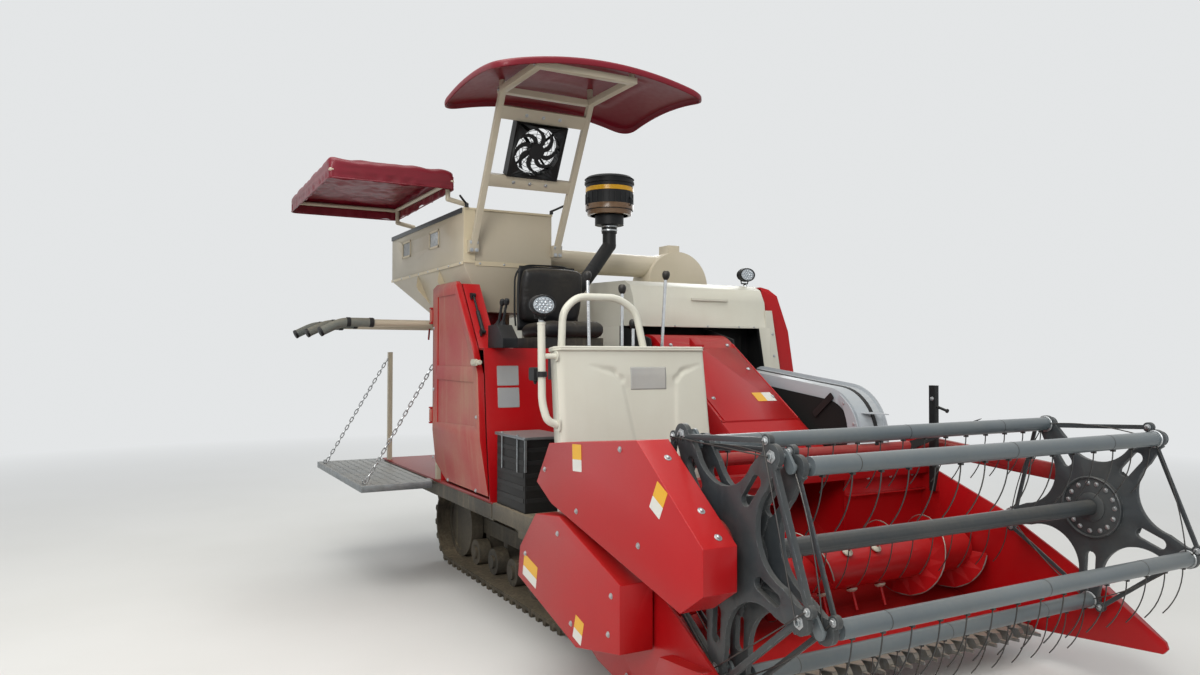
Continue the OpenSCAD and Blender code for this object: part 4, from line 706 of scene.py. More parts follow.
# %% [markdown]
# The end plates are pressed steel with a rolled hub. Zinc-plated nuts hold the bearings in their tips, and
# they are the only bright points on the dark plates. All nuts of a plate go into one mesh, because they
# never move apart and one object is quicker to handle than forty.

# %% Nuts, hub rims and wires of the end plates
zinc = metal("zinc_plated", "#b9bdc0", "#8f9498", 0.3, dust=0.2, spangle=60)
COLLAR = [(30.2, -2), (36, -2), (36, 3), (33, 5), (30.2, 5)]
reel_nuts, ring_nuts = bmesh.new(), bmesh.new()
for k in range(5):
    x, z = on_reel(k, NUT_OUT, NUT_TURN)
    bolt(reel_nuts, (x, -934, z), RIGHT, 9)
    bolt(reel_nuts, (x, 955, z), RIGHT, 9)
    bolt(reel_nuts, (x, 975, z), LEFT, 9)
    for s in (-1, 1):
        x, z = on_reel(k, TUBE_OUT)
        hoop(reel_nuts, (x, 965 + 10 * s, z), (0, s, 0), COLLAR)
    x, z = on_reel(k, NUT_OUT, NUT_TURN, RING)
    bolt(ring_nuts, (x, -1010, z), RIGHT, 9)
    x, z = on_reel(k, TUBE_OUT, 0, RING)
    hoop(ring_nuts, (x, -1010, z), RIGHT, [(8.4, -1), (21, -1), (21, 2), (13, 3), (12, 9), (8.4, 9)], 6)
    for a in (-16, 0, 16):
        x, z = on_reel(k, 102, a * 1.6)
        bolt(reel_nuts, (x, 941, z), RIGHT, 7)
        bolt(reel_nuts, (x, 981, z), LEFT, 7)
piece(reel_nuts, "reel_nuts", zinc, "reel", (), 0.4)
piece(ring_nuts, "ring_nuts", zinc, "tine_control_ring", (), 0.4)

bm = bmesh.new()
for y, s in ((-900, 1), (-940, -1), (941, -1), (981, 1)):
    hoop(bm, (REEL[0], y, REEL[1]), (0, s, 0), [(120, -3), (131, -3), (131, 4), (127, 7), (122, 5)], 56)
    hoop(bm, (REEL[0], y, REEL[1]), (0, s, 0), [(33, -3), (62, -3), (60, 5), (44, 12), (33, 12)], 40)
piece(bm, "hub_rims", moulded, "reel", (), 0.6)

reel_wires, ring_wires = bmesh.new(), bmesh.new()
for k in range(5):
    for y, bow in ((-940, 28), (948, 30)):
        x0, z0 = on_reel(k, NUT_OUT, NUT_TURN)
        x1, z1 = on_reel(k + 1, TUBE_OUT)
        away = Vector((x0 + x1 - 2 * REEL[0], 0, z0 + z1 - 2 * REEL[1])).normalized()
        pts = []
        for t in (i / 12 for i in range(13)):
            out = bow * 4 * t * (1 - t)
            pts.append((x0 + (x1 - x0) * t + away.x * out, y, z0 + (z1 - z0) * t + away.z * out))
        tube(reel_wires, pts, TINE_WIRE, 7)
    x0, z0 = on_reel(k, NUT_OUT, NUT_TURN, RING)
    x1, z1 = on_reel(k + 1, TUBE_OUT, 0, RING)
    tube(ring_wires, [(x0 + (x1 - x0) * t, -1021, z0 + (z1 - z0) * t) for t in (i / 8 for i in range(9))],
        TINE_WIRE, 7)
piece(reel_wires, "reel_wires", spring_steel, "reel", (), 0)
piece(ring_wires, "ring_wires", spring_steel, "tine_control_ring", (), 0)

# %% [markdown]
# ## Drive covers and header
# Two big folded covers hide the chains on the right. Their solids are already dressed, so what is missing
# is small: domed screws, and blank labels, a yellow field over a white one. A label could be painted on by
# a mask, but a thin cut sheet has a real edge that catches the light, and it stays sharp at any distance.

# %% Screws and blank labels on the covers
label_yellow = paint("label_yellow", "#e0a80f", "#cf9a1e", dust=0.15, wear=0.1, rough=0.35, coat=0.3)
label_white = paint("label_white", "#d8d8d2", "#c9c9c1", dust=0.18, wear=0.1, rough=0.35, coat=0.3)
COVER_Y = -1190.0
SCREW_HEAD = [(11, -0.5), (11, 1.5), (8, 2.2), (7.5, 5), (4, 7.5)]


def label(name, corners, body):
    """A sticker with a yellow upper and a white lower part: corners run clockwise from the top left."""
    a, b, c, d = (Vector(p) for p in corners)
    for tail, material, top, low in (("yellow", label_yellow, 0.0, 0.56), ("white", label_white, 0.56, 1.0)):
        outline = [a.lerp(d, low), b.lerp(c, low), b.lerp(c, top), a.lerp(d, top)]
        bm = bmesh.new()
        cut_sheet(bm, rounded([tuple(p) for p in outline], 3), (0, COVER_Y, 0), FORWARD, UP, 0.7)
        piece(bm, name + "_" + tail, material, body, (), 0)


label("label_upper_rear", [(1137, 1065), (1209, 1069), (1214, 967), (1142, 963)], "reel_arms")
label("label_upper_front", [(1740, 1002), (1800, 970), (1752, 880), (1692, 912)], "reel_arms")
label("label_lower_rear", [(690, 559), (824, 526), (806, 435), (672, 468)], "header")
label("label_lower_front", [(1170, 425), (1236, 407), (1210, 318), (1144, 336)], "header")

bm = bmesh.new()
for x, z in ((1172, 814), (1622, 771), (890, 940), (1500, 1080)):
    turned(bm, (x, COVER_Y, z), RIGHT, SCREW_HEAD, 20)
slope = Vector((1990 - 1610, 0, 830 - 1120)).normalized()
out = Vector((-slope.z, 0, slope.x))
for t in (90, 330, 440):
    place = Vector((1610, -1112, 1120)) + slope * t
    turned(bm, tuple(place), tuple(out), [(13, -0.5), (13, 1.5), (7, 2.5), (6.5, 6), (3, 8)], 20)
piece(bm, "reel_cover_screws", zinc, "reel_arms", (), 0)
bm = bmesh.new()
for x, z in ((700, 560), (1420, 420), (1010, 700), (1130, 380), (1440, 560)):
    turned(bm, (x, COVER_Y, z), RIGHT, SCREW_HEAD, 20)
piece(bm, "knife_cover_screws", zinc, "header", (), 0)

# %% [markdown]
# The auger's flights are welded to its tube and worn bright along their rims by the straw. The flights
# themselves are the solid's. Only a thin bright bar follows each rim as a helix, which is easier than to
# colour an edge of the flight. Pale nylon guides hold the fingers where they come out of the tube.

# %% Worn rims and finger guides of the auger
AUGER = (1100.0, 430.0)
FLIGHT_R, FLIGHT_PITCH = 184, 300
bm = bmesh.new()
for y0, y1, hand in ((-1011, 10, -1), (470, 1011, 1)):
    run = y1 - y0
    steps = int(run / 9)
    rim = [(AUGER[0] + FLIGHT_R * math.cos(a), y1 - h, AUGER[1] + FLIGHT_R * math.sin(a)) for h, a in
        ((run * i / steps, -hand * 2 * math.pi * run * i / steps / FLIGHT_PITCH) for i in range(steps + 1))]
    tube(bm, rim, 3.2, 6)
piece(bm, "flight_rims", bare_steel, "auger", (), 0)
bm = bmesh.new()
for y, turn in ((20, 40), (80, 160), (140, 280), (200, 40), (260, 160), (320, 280), (380, 40), (440, 160)):
    way = Vector((math.sin(math.radians(turn)), 0, math.cos(math.radians(turn))))
    base = Vector((AUGER[0], y, AUGER[1]))
    turned(bm, tuple(base), tuple(way), [(26, 106), (26, 112), (18, 118), (11, 121)], 20)
piece(bm, "finger_guides", nylon_guide, "auger", (), 0.5)

# %% [markdown]
# The header is bolted together along its back and through its end walls, and a collar sits round each end
# of the auger's shaft. The bolts stand in rows, so loops set them down, and only the two at the crop
# divider are placed singly.

# %% Bolts of the header
bm = bmesh.new()
for y in range(-960, 1000, 160):
    if not -30 < y < 510:
        bolt(bm, (872, y, 780), FORWARD, 7)
        bolt(bm, (872, y, 520), FORWARD, 7)
for s, face in ((-1, -1042.3), (1, 1042.3)):
    for x, z in ((930, 760), (1250, 640), (1600, 470), (1050, 280), (1300, 210)):
        if s > 0 or z < 320:
            bolt(bm, (x, face, z), (0, s, 0), 8)
    hoop(bm, (AUGER[0], face + s * 12, AUGER[1]), (0, s, 0), [(24.5, 2), (34, 2), (34, 8), (24.5, 8)], 28)
bolt(bm, (965, 1004, 1180), RIGHT, 8)
bolt(bm, (965, 1004, 1000), RIGHT, 8)
piece(bm, "header_bolts", zinc, "header", (), 0.4)

# %% [markdown]
# ## The driving place
# The front panel is one pressed sheet: a lip is rolled over its top, its sides are flanged back, and two
# long dents with a crease below stiffen it. A grid of points is bent to that shape, so the dents catch the
# light as real pressings do.

# %% The pressed front panel
LEAN = math.radians(-6.5)
FIELD_DEPTH = 6.5


def on_panel(depth, across, up):
    """A point of the leaning panel: depth forwards, across from its right edge, up from its foot."""
    x = 790 + depth * math.cos(LEAN) + up * math.sin(LEAN)
    return x, -1045 + across, 660.22 - depth * math.sin(LEAN) + up * math.cos(LEAN)


def dent(x, y, a, b, wide):
    """How deep a pressing that runs from a to b is at (x, y): 1 on its line, 0 beyond its width."""
    a, b, p = Vector(a), Vector(b), Vector((x, y))
    t = max(0.0, min(1.0, (p - a).dot(b - a) / (b - a).length_squared))
    here = wide * (0.25 + 0.75 * t)
    return max(0.0, 1 - ((p - a.lerp(b, t)).length / here) ** 2) * min(1.0, 0.2 + 1.3 * t)


def pressing(x, y):
    """How deep the panel is pressed in at (x, y): two long dents, and the field between two creases."""
    depth = 6.0 * dent(x, y, (150, 704), (285, 674), 20) + 6.5 * dent(x, y, (255, 690), (318, 640), 22)
    depth += 6.0 * dent(x, y, (765, 708), (645, 674), 18) + 6.5 * dent(x, y, (672, 690), (614, 640), 20)
    left = 318 + (640 - y) * 0.20
    right = 614 - (640 - y) * 0.06
    if y < 660:
        fade = FIELD_DEPTH * min(1.0, (660 - y) / 60)
        for side_x, sign in ((left, 1), (right, -1)):
            depth += fade / (1 + math.exp(-sign * (x - side_x) / 4))
        depth -= fade
    return depth


bm = bmesh.new()
wide_n, high_n = 110, 90
grid = []
for j in range(high_n + 1):
    up = 2 + 786 * j / high_n
    right_edge = 800 - 20 * up / 790
    row = [at(*on_panel(d, e, up)) for d, e in ((-70, 0.5), (-30, 0.5), (-12, 1))]
    for i in range(wide_n + 1):
        t = i / wide_n
        across = 6 + (right_edge - 12) * t
        corner = 22 * max(0.0, 1 - across / 34) ** 2 * 0.6 + 6 * max(0.0, 1 - (right_edge - across) / 16) ** 2
        row.append(at(*on_panel(-0.5 - corner - pressing(across, up), across, up)))
    row += [at(*on_panel(d, right_edge - e, up)) for d, e in ((-12, 1), (-30, 0.5), (-70, 0.5))]
    grid.append(row)
bent_sheet(bm, grid)
piece(bm, "front_panel_sheet", cream, "chassis", ["front_panel"], 0, 50, thick=2.2)
bm = bmesh.new()
for height in (775, 783.4):
    tube(bm, [on_panel(depth, across, height) for depth, across in
        ((-64, -4), (-18, -6), (4, 12), (4, 766), (-18, 784), (-64, 784))], 6.5, 12)
cut_sheet(bm, rounded([(0, 0), (790, 0), (790, 68), (0, 68)], 14), on_panel(-66, -3, 784), LEFT,
    (math.cos(LEAN), 0, -math.sin(LEAN)), -3)
piece(bm, "front_panel_lip", cream, "chassis", (), 0.8)
bm = bmesh.new()
for across, up in ((545, 300), (758, 300), (110, 24), (40, 330), (400, 18), (690, 18)):
    turned(bm, on_panel(-2, across, up), (1, 0, 0.1), [(8, -1), (8, 1.5), (5.5, 2), (5, 5), (3, 6.5)], 18)
piece(bm, "front_panel_screws", zinc, "chassis", (), 0)
# A worn blank foil in the middle follows the pressing
worn_foil = paint("worn_foil", "#a3a4a4", "#c4c2ba", share=1.0, dust=0.3, wear=0.0, rough=0.4, coat=0.1,
    grain_size=55)
bm = bmesh.new()
bent_sheet(bm, [[at(*on_panel(0.4 - pressing(across, up), across, up)) for across in range(366, 560, 8)]
    for up in range(592, 700, 8)])
piece(bm, "front_panel_sticker", worn_foil, "chassis", (), 0, thick=0.6)

# %% [markdown]
# The grab rail and the arch are bent from one tube each. `bent` rounds their corners to about two and a half
# diameters, as a bending machine does, and flat feet are welded to their ends.

# %% Grab rail and arch
RAIL_R = 17
bm = bmesh.new()
rail = [(690, -1115, 1545), (700, -1115, 1200), (716, -1098, 1122), (720, -1050, 1102)]
tube(bm, bent(rail, 80), RAIL_R, 20, ready=True)
cut_sheet(bm, rounded([(0, 0), (46, 0), (46, 56), (0, 56)], 10), (698, -1052, 1074), FORWARD, UP, -6.5)
tube(bm, [(696, -1102, 1400), (700, -1046, 1400)], 12, 16)
turned(bm, (699, -1051, 1400), LEFT, [(24, 0), (24, 5), (14, 9)], 20)
arch = [(660, -1005, 1386), (650, -992, 1600), (640, -915, 1668), (630, -700, 1670), (635, -605, 1612),
    (660, -565, 1386)]
tube(bm, bent(arch, 90), RAIL_R, 20, ready=True)
for y in (-1005, -565):
    cut_sheet(bm, rounded([(0, 0), (40, 0), (40, 38), (0, 38)], 6), (654, y - 19, 1385), FORWARD, LEFT, 7)
turned(bm, (690, -1115, 1536), UP, [(18.5, 0), (18.5, 9), (12, 13)], 20)
piece(bm, "hand_rails", cream, "chassis", ["handrails"], 0.5)

# %% [markdown]
# The work lamps are oval, with rings of cells in their face and cooling fins at the back. The face is
# built cell by cell, because a flat disc would never glitter as the real one does.

# %% Work lamps
lamp_face = bpy.data.materials.new("lamp_face")
lamp_face.use_nodes = True
tree = lamp_face.node_tree
shader = tree.nodes["Principled BSDF"]
spot = tree.nodes.new("ShaderNodeTexCoord")
cells = node(tree, "ShaderNodeTexVoronoi", {"Vector": spot.outputs["Object"], "Scale": 160.0})
between = ramp(tree, cells.outputs["Distance"], 0.1, 0.6)
wire(tree, shader.inputs["Base Color"], mix_colour(tree, between, colour("#e9edf0"), colour("#9aa3aa")))
wire(tree, shader.inputs["Roughness"], ramp(tree, cells.outputs["Distance"], -0.6, 3.0))
bump = node(tree, "ShaderNodeBump", {"Height": cells.outputs["Distance"], "Strength": 0.5, "Distance": 0.001})
wire(tree, shader.inputs["Normal"], bump.outputs[0])
shader.inputs["Metallic"].default_value = 0.55
shader.inputs["Coat Weight"].default_value = 0.8
shader.inputs["Coat Roughness"].default_value = 0.05


OVAL = 0.72


def oval(bm, centre, profile, sides=32, tall=OVAL):
    """A lamp's round parts, squeezed to an oval: profile gives (half width, how far forwards)."""
    rings = [[at(centre[0] + h, centre[1] + r * math.cos(t), centre[2] + r * tall * math.sin(t))
        for t in around(sides)] for r, h in profile]
    join_rings(bm, rings)


LAMP_CASE = [(38, -30), (44, -26), (58, -4), (61.5, 2), (61.5, 20),
    (59, 28), (55, 30), (52, 27), (52, 22), (3, 20)]
for lamp_name, (x, y, z) in (("rail", (690, -1115, 1621.3)), ("hood", (-390, 850, 1927.3))):
    bm = bmesh.new()
    oval(bm, (x, y, z), LAMP_CASE)
    for fin in (-24, -18, -12, -6):
        root, tip = 40 + 0.75 * (fin + 30), 50 + 0.5 * (fin + 30)
        oval(bm, (x, y, z), [(root, fin - 1.2), (tip, fin - 0.8), (tip, fin + 0.8), (root, fin + 1.2)])
    fork = [(x - 8, y - 30, z - 34), (x - 10, y - 24, z - 56),
        (x - 10, y + 24, z - 56), (x - 8, y + 30, z - 34)]
    tube(bm, fork, 4.5, 8)
    tube(bm, [(x, y, z - 76), (x - 8, y, z - 54)], 8, 12)
    stands_for = ["work_lamps"] if lamp_name == "rail" else ()
    piece(bm, lamp_name + "_lamp_body", black_plastic, "chassis", stands_for, 0.5)
    bm = bmesh.new()
    oval(bm, (x, y, z), [(51.5, 21), (50, 24.5), (30, 26.5), (0.1, 27)])
    for ring_r, count in ((0, 1), (17, 6), (36, 12)):
        for t in around(count):
            cup = (x, y + ring_r * math.cos(t), z + ring_r * OVAL * math.sin(t))
            oval(bm, cup, [(7.5, 24), (7, 27), (5, 29), (2, 30)], 10, 0.9)
    piece(bm, lamp_name + "_lamp_face", lamp_face, "chassis", (), 0)
    bm = bmesh.new()
    bolt(bm, (x - 8, y, z - 66), RIGHT, 8)
    bolt(bm, (x - 8, y, z - 66), LEFT, 8)
    turned(bm, (x, y, z - 77), UP, [(15, 0), (15, 3), (10, 4), (10, 10), (8, 12)], 6)
    piece(bm, lamp_name + "_lamp_clamp", zinc, "chassis", (), 0.3)

# %% [markdown]
# A small switch box is clamped to the grab rail. It is two rounded blocks of moulded plastic, a deep one
# and a thin one, so that the line between case and cover shows.

# %% Switch box on the rail, and its clamp
bm = bmesh.new()
cut_sheet(bm, oblong(66, 58, 8), (648, -1139, 1322), FORWARD, UP, -40)
cut_sheet(bm, oblong(58, 50, 6), (648, -1139, 1322), FORWARD, UP, 4)
hoop(bm, (698, -1115, 1310), UP, [(16.5, 0), (23, 0), (23, 24), (16.5, 24)], 20)
block(bm, 674, 690, -1124, -1106, 1312, 1332)
turned(bm, (640, -1120, 1293), DOWN, [(9, -2), (9, 8), (6, 10), (6, 16)], 12)
piece(bm, "switch_box", black_plastic, "chassis", (), 1.0)

# %% [markdown]
# Four levers rise from the console. Their rods are bright steel, each one comes out of a ribbed rubber
# boot, and a moulded knob sits on top. The console's own box is kept to the solid's size, with a raised
# gauge and switches.

# %% Console, levers, boots and knobs
KNOB = [(9, 0), (12, 3), (17, 12), (20, 24), (20, 30), (17, 40), (10, 46)]
# Each lever's foot, the place of its knob, and the knob's height
LEVERS = [((430, -740), (410, -740), 1790), ((450, -570), (450, -570), 1730),
    ((470, -520), (470, -520), 1560), ((400, -310), (440, -310), 1810)]
bm = bmesh.new()
cut_sheet(bm, oblong(200, 630, 18), (520, -645, 1290), FORWARD, LEFT, 108)
cut_sheet(bm, oblong(176, 600, 12), (520, -645, 1398), FORWARD, LEFT, 4)
cut_sheet(bm, oblong(40, 80, 8), (520, -640, 652), FORWARD, LEFT, 639)
cut_sheet(bm, oblong(90, 150, 10), (545, -860, 1398), FORWARD, LEFT, 14)
for y in (-905, -860, -815):
    turned(bm, (545, y, 1411), UP, [(16, 0), (16, 6), (12, 10)], 20)
piece(bm, "console", black_plastic, "chassis", ["control_levers"], 1.2)
bm, boots = bmesh.new(), bmesh.new()
for (x0, y0), (x1, y1), top in LEVERS:
    tube(bm, [(x0, y0, 1400), (x1, y1, top)], 8, 14)
    way = Vector((x1 - x0, y1 - y0, top - 1400)).normalized()
    profile = [(36, 0), (36, 4)]
    for i in range(5):
        profile += [(32 - 4 * i, 6 + 8 * i), (28 - 4 * i, 10 + 8 * i)]
    turned(boots, (x0, y0, 1400), tuple(way), profile + [(11, 48), (9, 50)], 24)
    turned(boots, (x1, y1, top - 26), tuple(way), KNOB, 20)
piece(bm, "lever_rods", polished, "chassis", (), 0)
piece(boots, "lever_boots_and_knobs", vinyl, "chassis", (), 0.4)

# %% [markdown]
# The seat is foam under black vinyl. Its pads start as slightly small blocks with a crowned top. A short
# cloth simulation blows them up, so that their sides belly out between the corners as a real cover does,
# and the sewn channels are pressed in afterwards, because the remeshing before the simulation would erase
# them.

# %% A padded form, blown up as cloth
def pad(name, size, centre, tilt, channels, cap, stands_for=()):
    """A seat pad of a size in millimetres, tilted about y. channels: where its sewn lines run, along its
    width. cap: how far the cloth may move."""
    half = Vector(size) * 0.0005
    bm = bmesh.new()
    bmesh.ops.create_cube(bm, size=2.0)
    bmesh.ops.subdivide_edges(bm, edges=bm.edges, cuts=14, use_grid_fill=True)
    for v in bm.verts:
        x, y, z = v.co
        # Round the outline and the rim, and crown the top
        flat = Vector((x, y))
        corner = max(abs(x), abs(y))
        flat = flat * (1 - 0.10 * (abs(x) * abs(y)) ** 3)
        rim = 1 - 0.10 * max(0.0, abs(z) - 0.2) ** 2
        crown = 1 - 0.22 * corner ** 3 if z > 0 else 1.0
        v.co = (flat.x * half.x * rim, flat.y * half.y * rim, z * half.z * crown)
    mesh = bpy.data.meshes.new(name)
    bm.to_mesh(mesh)
    bm.free()
    mesh.materials.append(vinyl)
    made = bpy.data.objects.new(name, mesh)
    scene.collection.objects.link(made)
    mod = made.modifiers.new("Even mesh", "REMESH")
    mod.mode, mod.voxel_size = "VOXEL", 0.006
    bpy.context.view_layer.update()
    even = bpy.data.meshes.new_from_object(made.evaluated_get(bpy.context.evaluated_depsgraph_get()))
    made.modifiers.clear()
    made.data = even
    before = [v.co.copy() for v in even.vertices]
    cloth = made.modifiers.new("Blown up", "CLOTH")
    cloth.settings.use_pressure = True
    cloth.settings.uniform_pressure_force = 4
    cloth.settings.effector_weights.gravity = 0
    for number in range(1, 21):
        scene.frame_set(number)
    blown = bpy.data.meshes.new_from_object(made.evaluated_get(bpy.context.evaluated_depsgraph_get()))
    made.modifiers.clear()
    made.data = blown
    for v, start in zip(blown.vertices, before):
        move = v.co - start
        if move.length > cap * 0.001:
            v.co = start + move.normalized() * cap * 0.001
    scene.frame_set(1)
    turn = Matrix.Rotation(math.radians(tilt), 4, "Y")
    for v in made.data.vertices:
        press = sum(math.exp(-((v.co.y - c * 0.001) / 0.006) ** 2) for c in channels)
        if v.co.z > 0:
            v.co.z -= 0.005 * press
        v.co = turn @ v.co + at(*centre)
    made.data.shade_smooth()
    mod = made.modifiers.new("Finer", "SUBSURF")
    mod.levels = mod.render_levels = 1
    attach(made, "chassis")
    if stands_for:
        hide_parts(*stands_for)
    print("pad", name, len(made.data.vertices))


# %% Seat pad, backrest, piping and shell
pad("seat_pad", (376, 406, 78), (-300, -525, 1543), -2, (-90, 0, 90), 9, ["seat_cushion"])
pad("seat_back_pad", (330, 404, 58), (-452, -525, 1748), -80, (-80, 80), 8)
bm = bmesh.new()
half_line = [(-505, 197, 1570), (-508, 203, 1640), (-505, 205, 1760), (-508, 203, 1850), (-514, 175, 1905),
    (-516, 115, 1926)]
piping = [(x, -525 - y, z) for x, y, z in half_line] + [(-516, -525, 1928)]
piping += [(x, -525 + y, z) for x, y, z in reversed(half_line)]
tube(bm, bent(piping, 40), 5.5, 10, ready=True)
rows = []
for t in (i / 12 for i in range(13)):
    half_width, hollow = 188 - 10 * t ** 6, 10 * math.sin(math.pi * t)
    rows.append([at(-503 - hollow - 8 * (1 - s * s), -525 + s * half_width, 1545 + 375 * t)
        for s in (i / 8 - 1 for i in range(17))])
bent_sheet(bm, rows)
piece(bm, "seat_back_shell", black_plastic, "chassis", (), 0, 50, thick=2.5)

# %% [markdown]
# The side console beside the seat gets a top plate, two rubber boots and two grips. Boot and grip are
# turned along the same slanted axis, which keeps each lever in line.

# %% Boots and grips of the side console
bm = bmesh.new()
cut_sheet(bm, oblong(96, 60, 6), (-150, -968, 1560), FORWARD, LEFT, 2.5)
for x in (-170, -110):
    turned(bm, (x + 55, -968, 1668), (0.42, 0, 0.9), [(7.5, -6), (13, 0), (15, 12), (13, 24), (7, 30)], 18)
    turned(bm, (x, -968, 1556), (0.42, 0, 0.9), [(22, 0), (22, 5), (17, 9), (13, 20), (9, 30)], 20)
piece(bm, "side_console_grips", black_plastic, "chassis", (), 0.4)

# %% [markdown]
# ## Engine side
# The engine door's outer sheet has faded to a dusty pink, while the front of the bay stays bright because
# it faces away from the sun. Two blank steel plates are riveted to the bay's front, and a black gas strut
# lies on the sloping edge above.

# %% Plates, strut and latch
rating_plate = paint("rating_plate", "#8b8d90", "#a3a5a6", share=0.8, dust=0.35, wear=0.3, rough=0.4,
    coat=0.0, grain_size=120)
wall_up = Vector((-30, 0, 300)).normalized()
for name, low in (("upper", 1243), ("lower", 1128)):
    bm = bmesh.new()
    foot = (-110 - (low - 1000) * 0.1, -984, low)
    cut_sheet(bm, rounded([(0, 0), (122, 0), (122, 104), (0, 104)], 5), foot, LEFT, tuple(wall_up), 1.6)
    for a in (7, 115):
        for b in (7, 97):
            p = Vector(foot) + Vector((0, a, 0)) + wall_up * b
            turned(bm, tuple(p), (1, 0, 0.1), [(4, 0), (3.6, 2.4), (2, 3.4)], 12)
    piece(bm, "rating_plate_" + name, rating_plate, "chassis", (), 0.3)
bm = bmesh.new()
edge_top, edge_foot = Vector((-490, -1012, 1800)), Vector((-225, -1012, 1440))
down = (edge_foot - edge_top).normalized()
out = Vector((-down.z, 0, down.x))
a, b = (edge_top + down * along + out * 16 for along in (95, 350))
m = a.lerp(b, 0.45)
tube(bm, [tuple(a), tuple(m)], 6, 12)
tube(bm, [tuple(m), tuple(b)], 11, 16)
for p in (a, b):
    turned(bm, tuple(p - Vector((0, 12, 0))), LEFT, [(12, 0), (12, 24)], 14)
    block(bm, p.x - 16, p.x + 14, p.y - 16, p.y - 12, p.z - 24, p.z + 12)
piece(bm, "door_strut", black_plastic, "chassis", (), 0.6)
bm = bmesh.new()
cut_sheet(bm, oblong(88, 34, 9), (-149, -1103.5, 1365), FORWARD, UP, 6)
cut_sheet(bm, oblong(64, 20, 9), (-149, -1109, 1365), FORWARD, UP, 7)
turned(bm, (-118, -1096, 1365), FORWARD, [(13, 0), (13, 22), (10, 26)], 16)
piece(bm, "door_latch", nylon_guide, "engine_door", (), 1.0)
bm = bmesh.new()
for x, z in ((-865, 800), (-865, 1200), (-865, 1560), (-600, 700), (-160, 700), (-160, 1080)):
    bolt(bm, (x, -1090, z), RIGHT, 7)
piece(bm, "door_bolts", zinc, "engine_door", (), 0.3)

# %% [markdown]
# The battery box is ribbed black plastic under a bare steel lid, which two rods hold down. The step and the
# deck have treads punched into them. Ribs and treads could be a bump pattern, but they are big enough to
# throw shadows, so each is a small solid set down by a loop.

# %% Battery box, treads and step
bm = bmesh.new()
for z in (700, 760, 820, 880, 940):
    block(bm, 329, 333, -1022, -808, z, z + 22)
    block(bm, -8, 318, -1033, -1029.5, z, z + 22)
piece(bm, "battery_ribs", black_plastic, "chassis", (), 1.2)
bm = bmesh.new()
cut_sheet(bm, oblong(374, 254, 12), (155, -915, 1011), FORWARD, LEFT, 3)
for y in (-1036, -794):
    block(bm, 345, 352, y - 6, y + 6, 850, 1000)
for x in (60, 250):
    tube(bm, [(x, -1036, 1008), (x, -1036, 840)], 4, 8)
    bolt(bm, (x, -1036, 1014), UP, 7)
piece(bm, "battery_lid", galvanised, "chassis", (), 0.8)
bm = bmesh.new()
for i in range(7):
    for j in range(3):
        turn = 0.4 * (-1) ** i
        cut_sheet(bm, oblong(26, 7, 3), (312 + 38 * i, -1020 + 22 * j, 554), (1, turn, 0), (-turn, 1, 0), 2)
for i in range(15):
    for j in range(6):
        turn = 0.8 * (-1) ** (i + j)
        cut_sheet(bm, oblong(20, 5, 2), (365 + 26 * i, -1010 + 30 * j, 652), (1, turn, 0), (-turn, 1, 0), 1.6)
piece(bm, "deck_treads", chassis_paint, "chassis", (), 0)

# %% [markdown]
# ## Canopy, fan and frame
# The canopy is one moulding of glossy fibre-reinforced plastic: a shallow dome with a pressed rib, and a
# rim that rolls down and back in. It is built from rings of its rounded outline, so that the crown, the rib
# and the rolled rim come from one list of shares and depths.

# %% Canopy moulding
CANOPY = (-60.0, -590.0, 2910.0)
DOME = 2100.0


def outline_points(length, width, corner, spacing):
    """A rounded rectangle round the origin with a point at least every spacing millimetres."""
    half_l, half_w = length / 2, width / 2
    loop = rounded([(-half_l, -half_w), (half_l, -half_w), (half_l, half_w), (-half_l, half_w)], corner, 8)
    out = []
    for i, start in enumerate(loop):
        a, b = Vector(start), Vector(loop[(i + 1) % len(loop)])
        parts = max(1, round((b - a).length / spacing))
        out += [a.lerp(b, k / parts) for k in range(parts)]
    return out


def rib(s):
    """How far the pressed rib and the crown's rim stand down at this share of the way out."""
    return 6.5 * math.exp(-((s - 0.56) / 0.035) ** 2) + 3.0 * math.exp(-((s - 0.2) / 0.05) ** 2)


crown = [i / 26 for i in range(1, 26)]
section = [(s, rib(s)) for s in crown]
section += [(0.985, 1.0), (0.995, 4.5), (1.0, 11), (1.0, 25), (0.997, 31),
    (0.989, 34), (0.982, 31), (0.979, 20), (0.974, 11)]
section += [(s, rib(s) + 8) for s in reversed(crown)]
plan = outline_points(850, 1200, 110, 38)
rings = []
for share, depth in section:
    ring = []
    for p in plan:
        q = p * share
        z = CANOPY[2] - DOME + math.sqrt((DOME - depth) ** 2 - q.length_squared)
        ring.append(at(CANOPY[0] + q.x, CANOPY[1] + q.y, z))
    rings.append(ring)
bm = bmesh.new()
join_rings(bm, rings)
piece(bm, "canopy_moulding", shaded_canopy_gloss, "chassis", ["canopy_shell"], 0)

# %% [markdown]
# A wire guard covers the fan: five rings and twelve spokes, all bent from one thin wire. The posts lean,
# so every place on the guard is counted along the posts, across the machine and along the fan's axis, and
# none has to be measured in the leaning position.

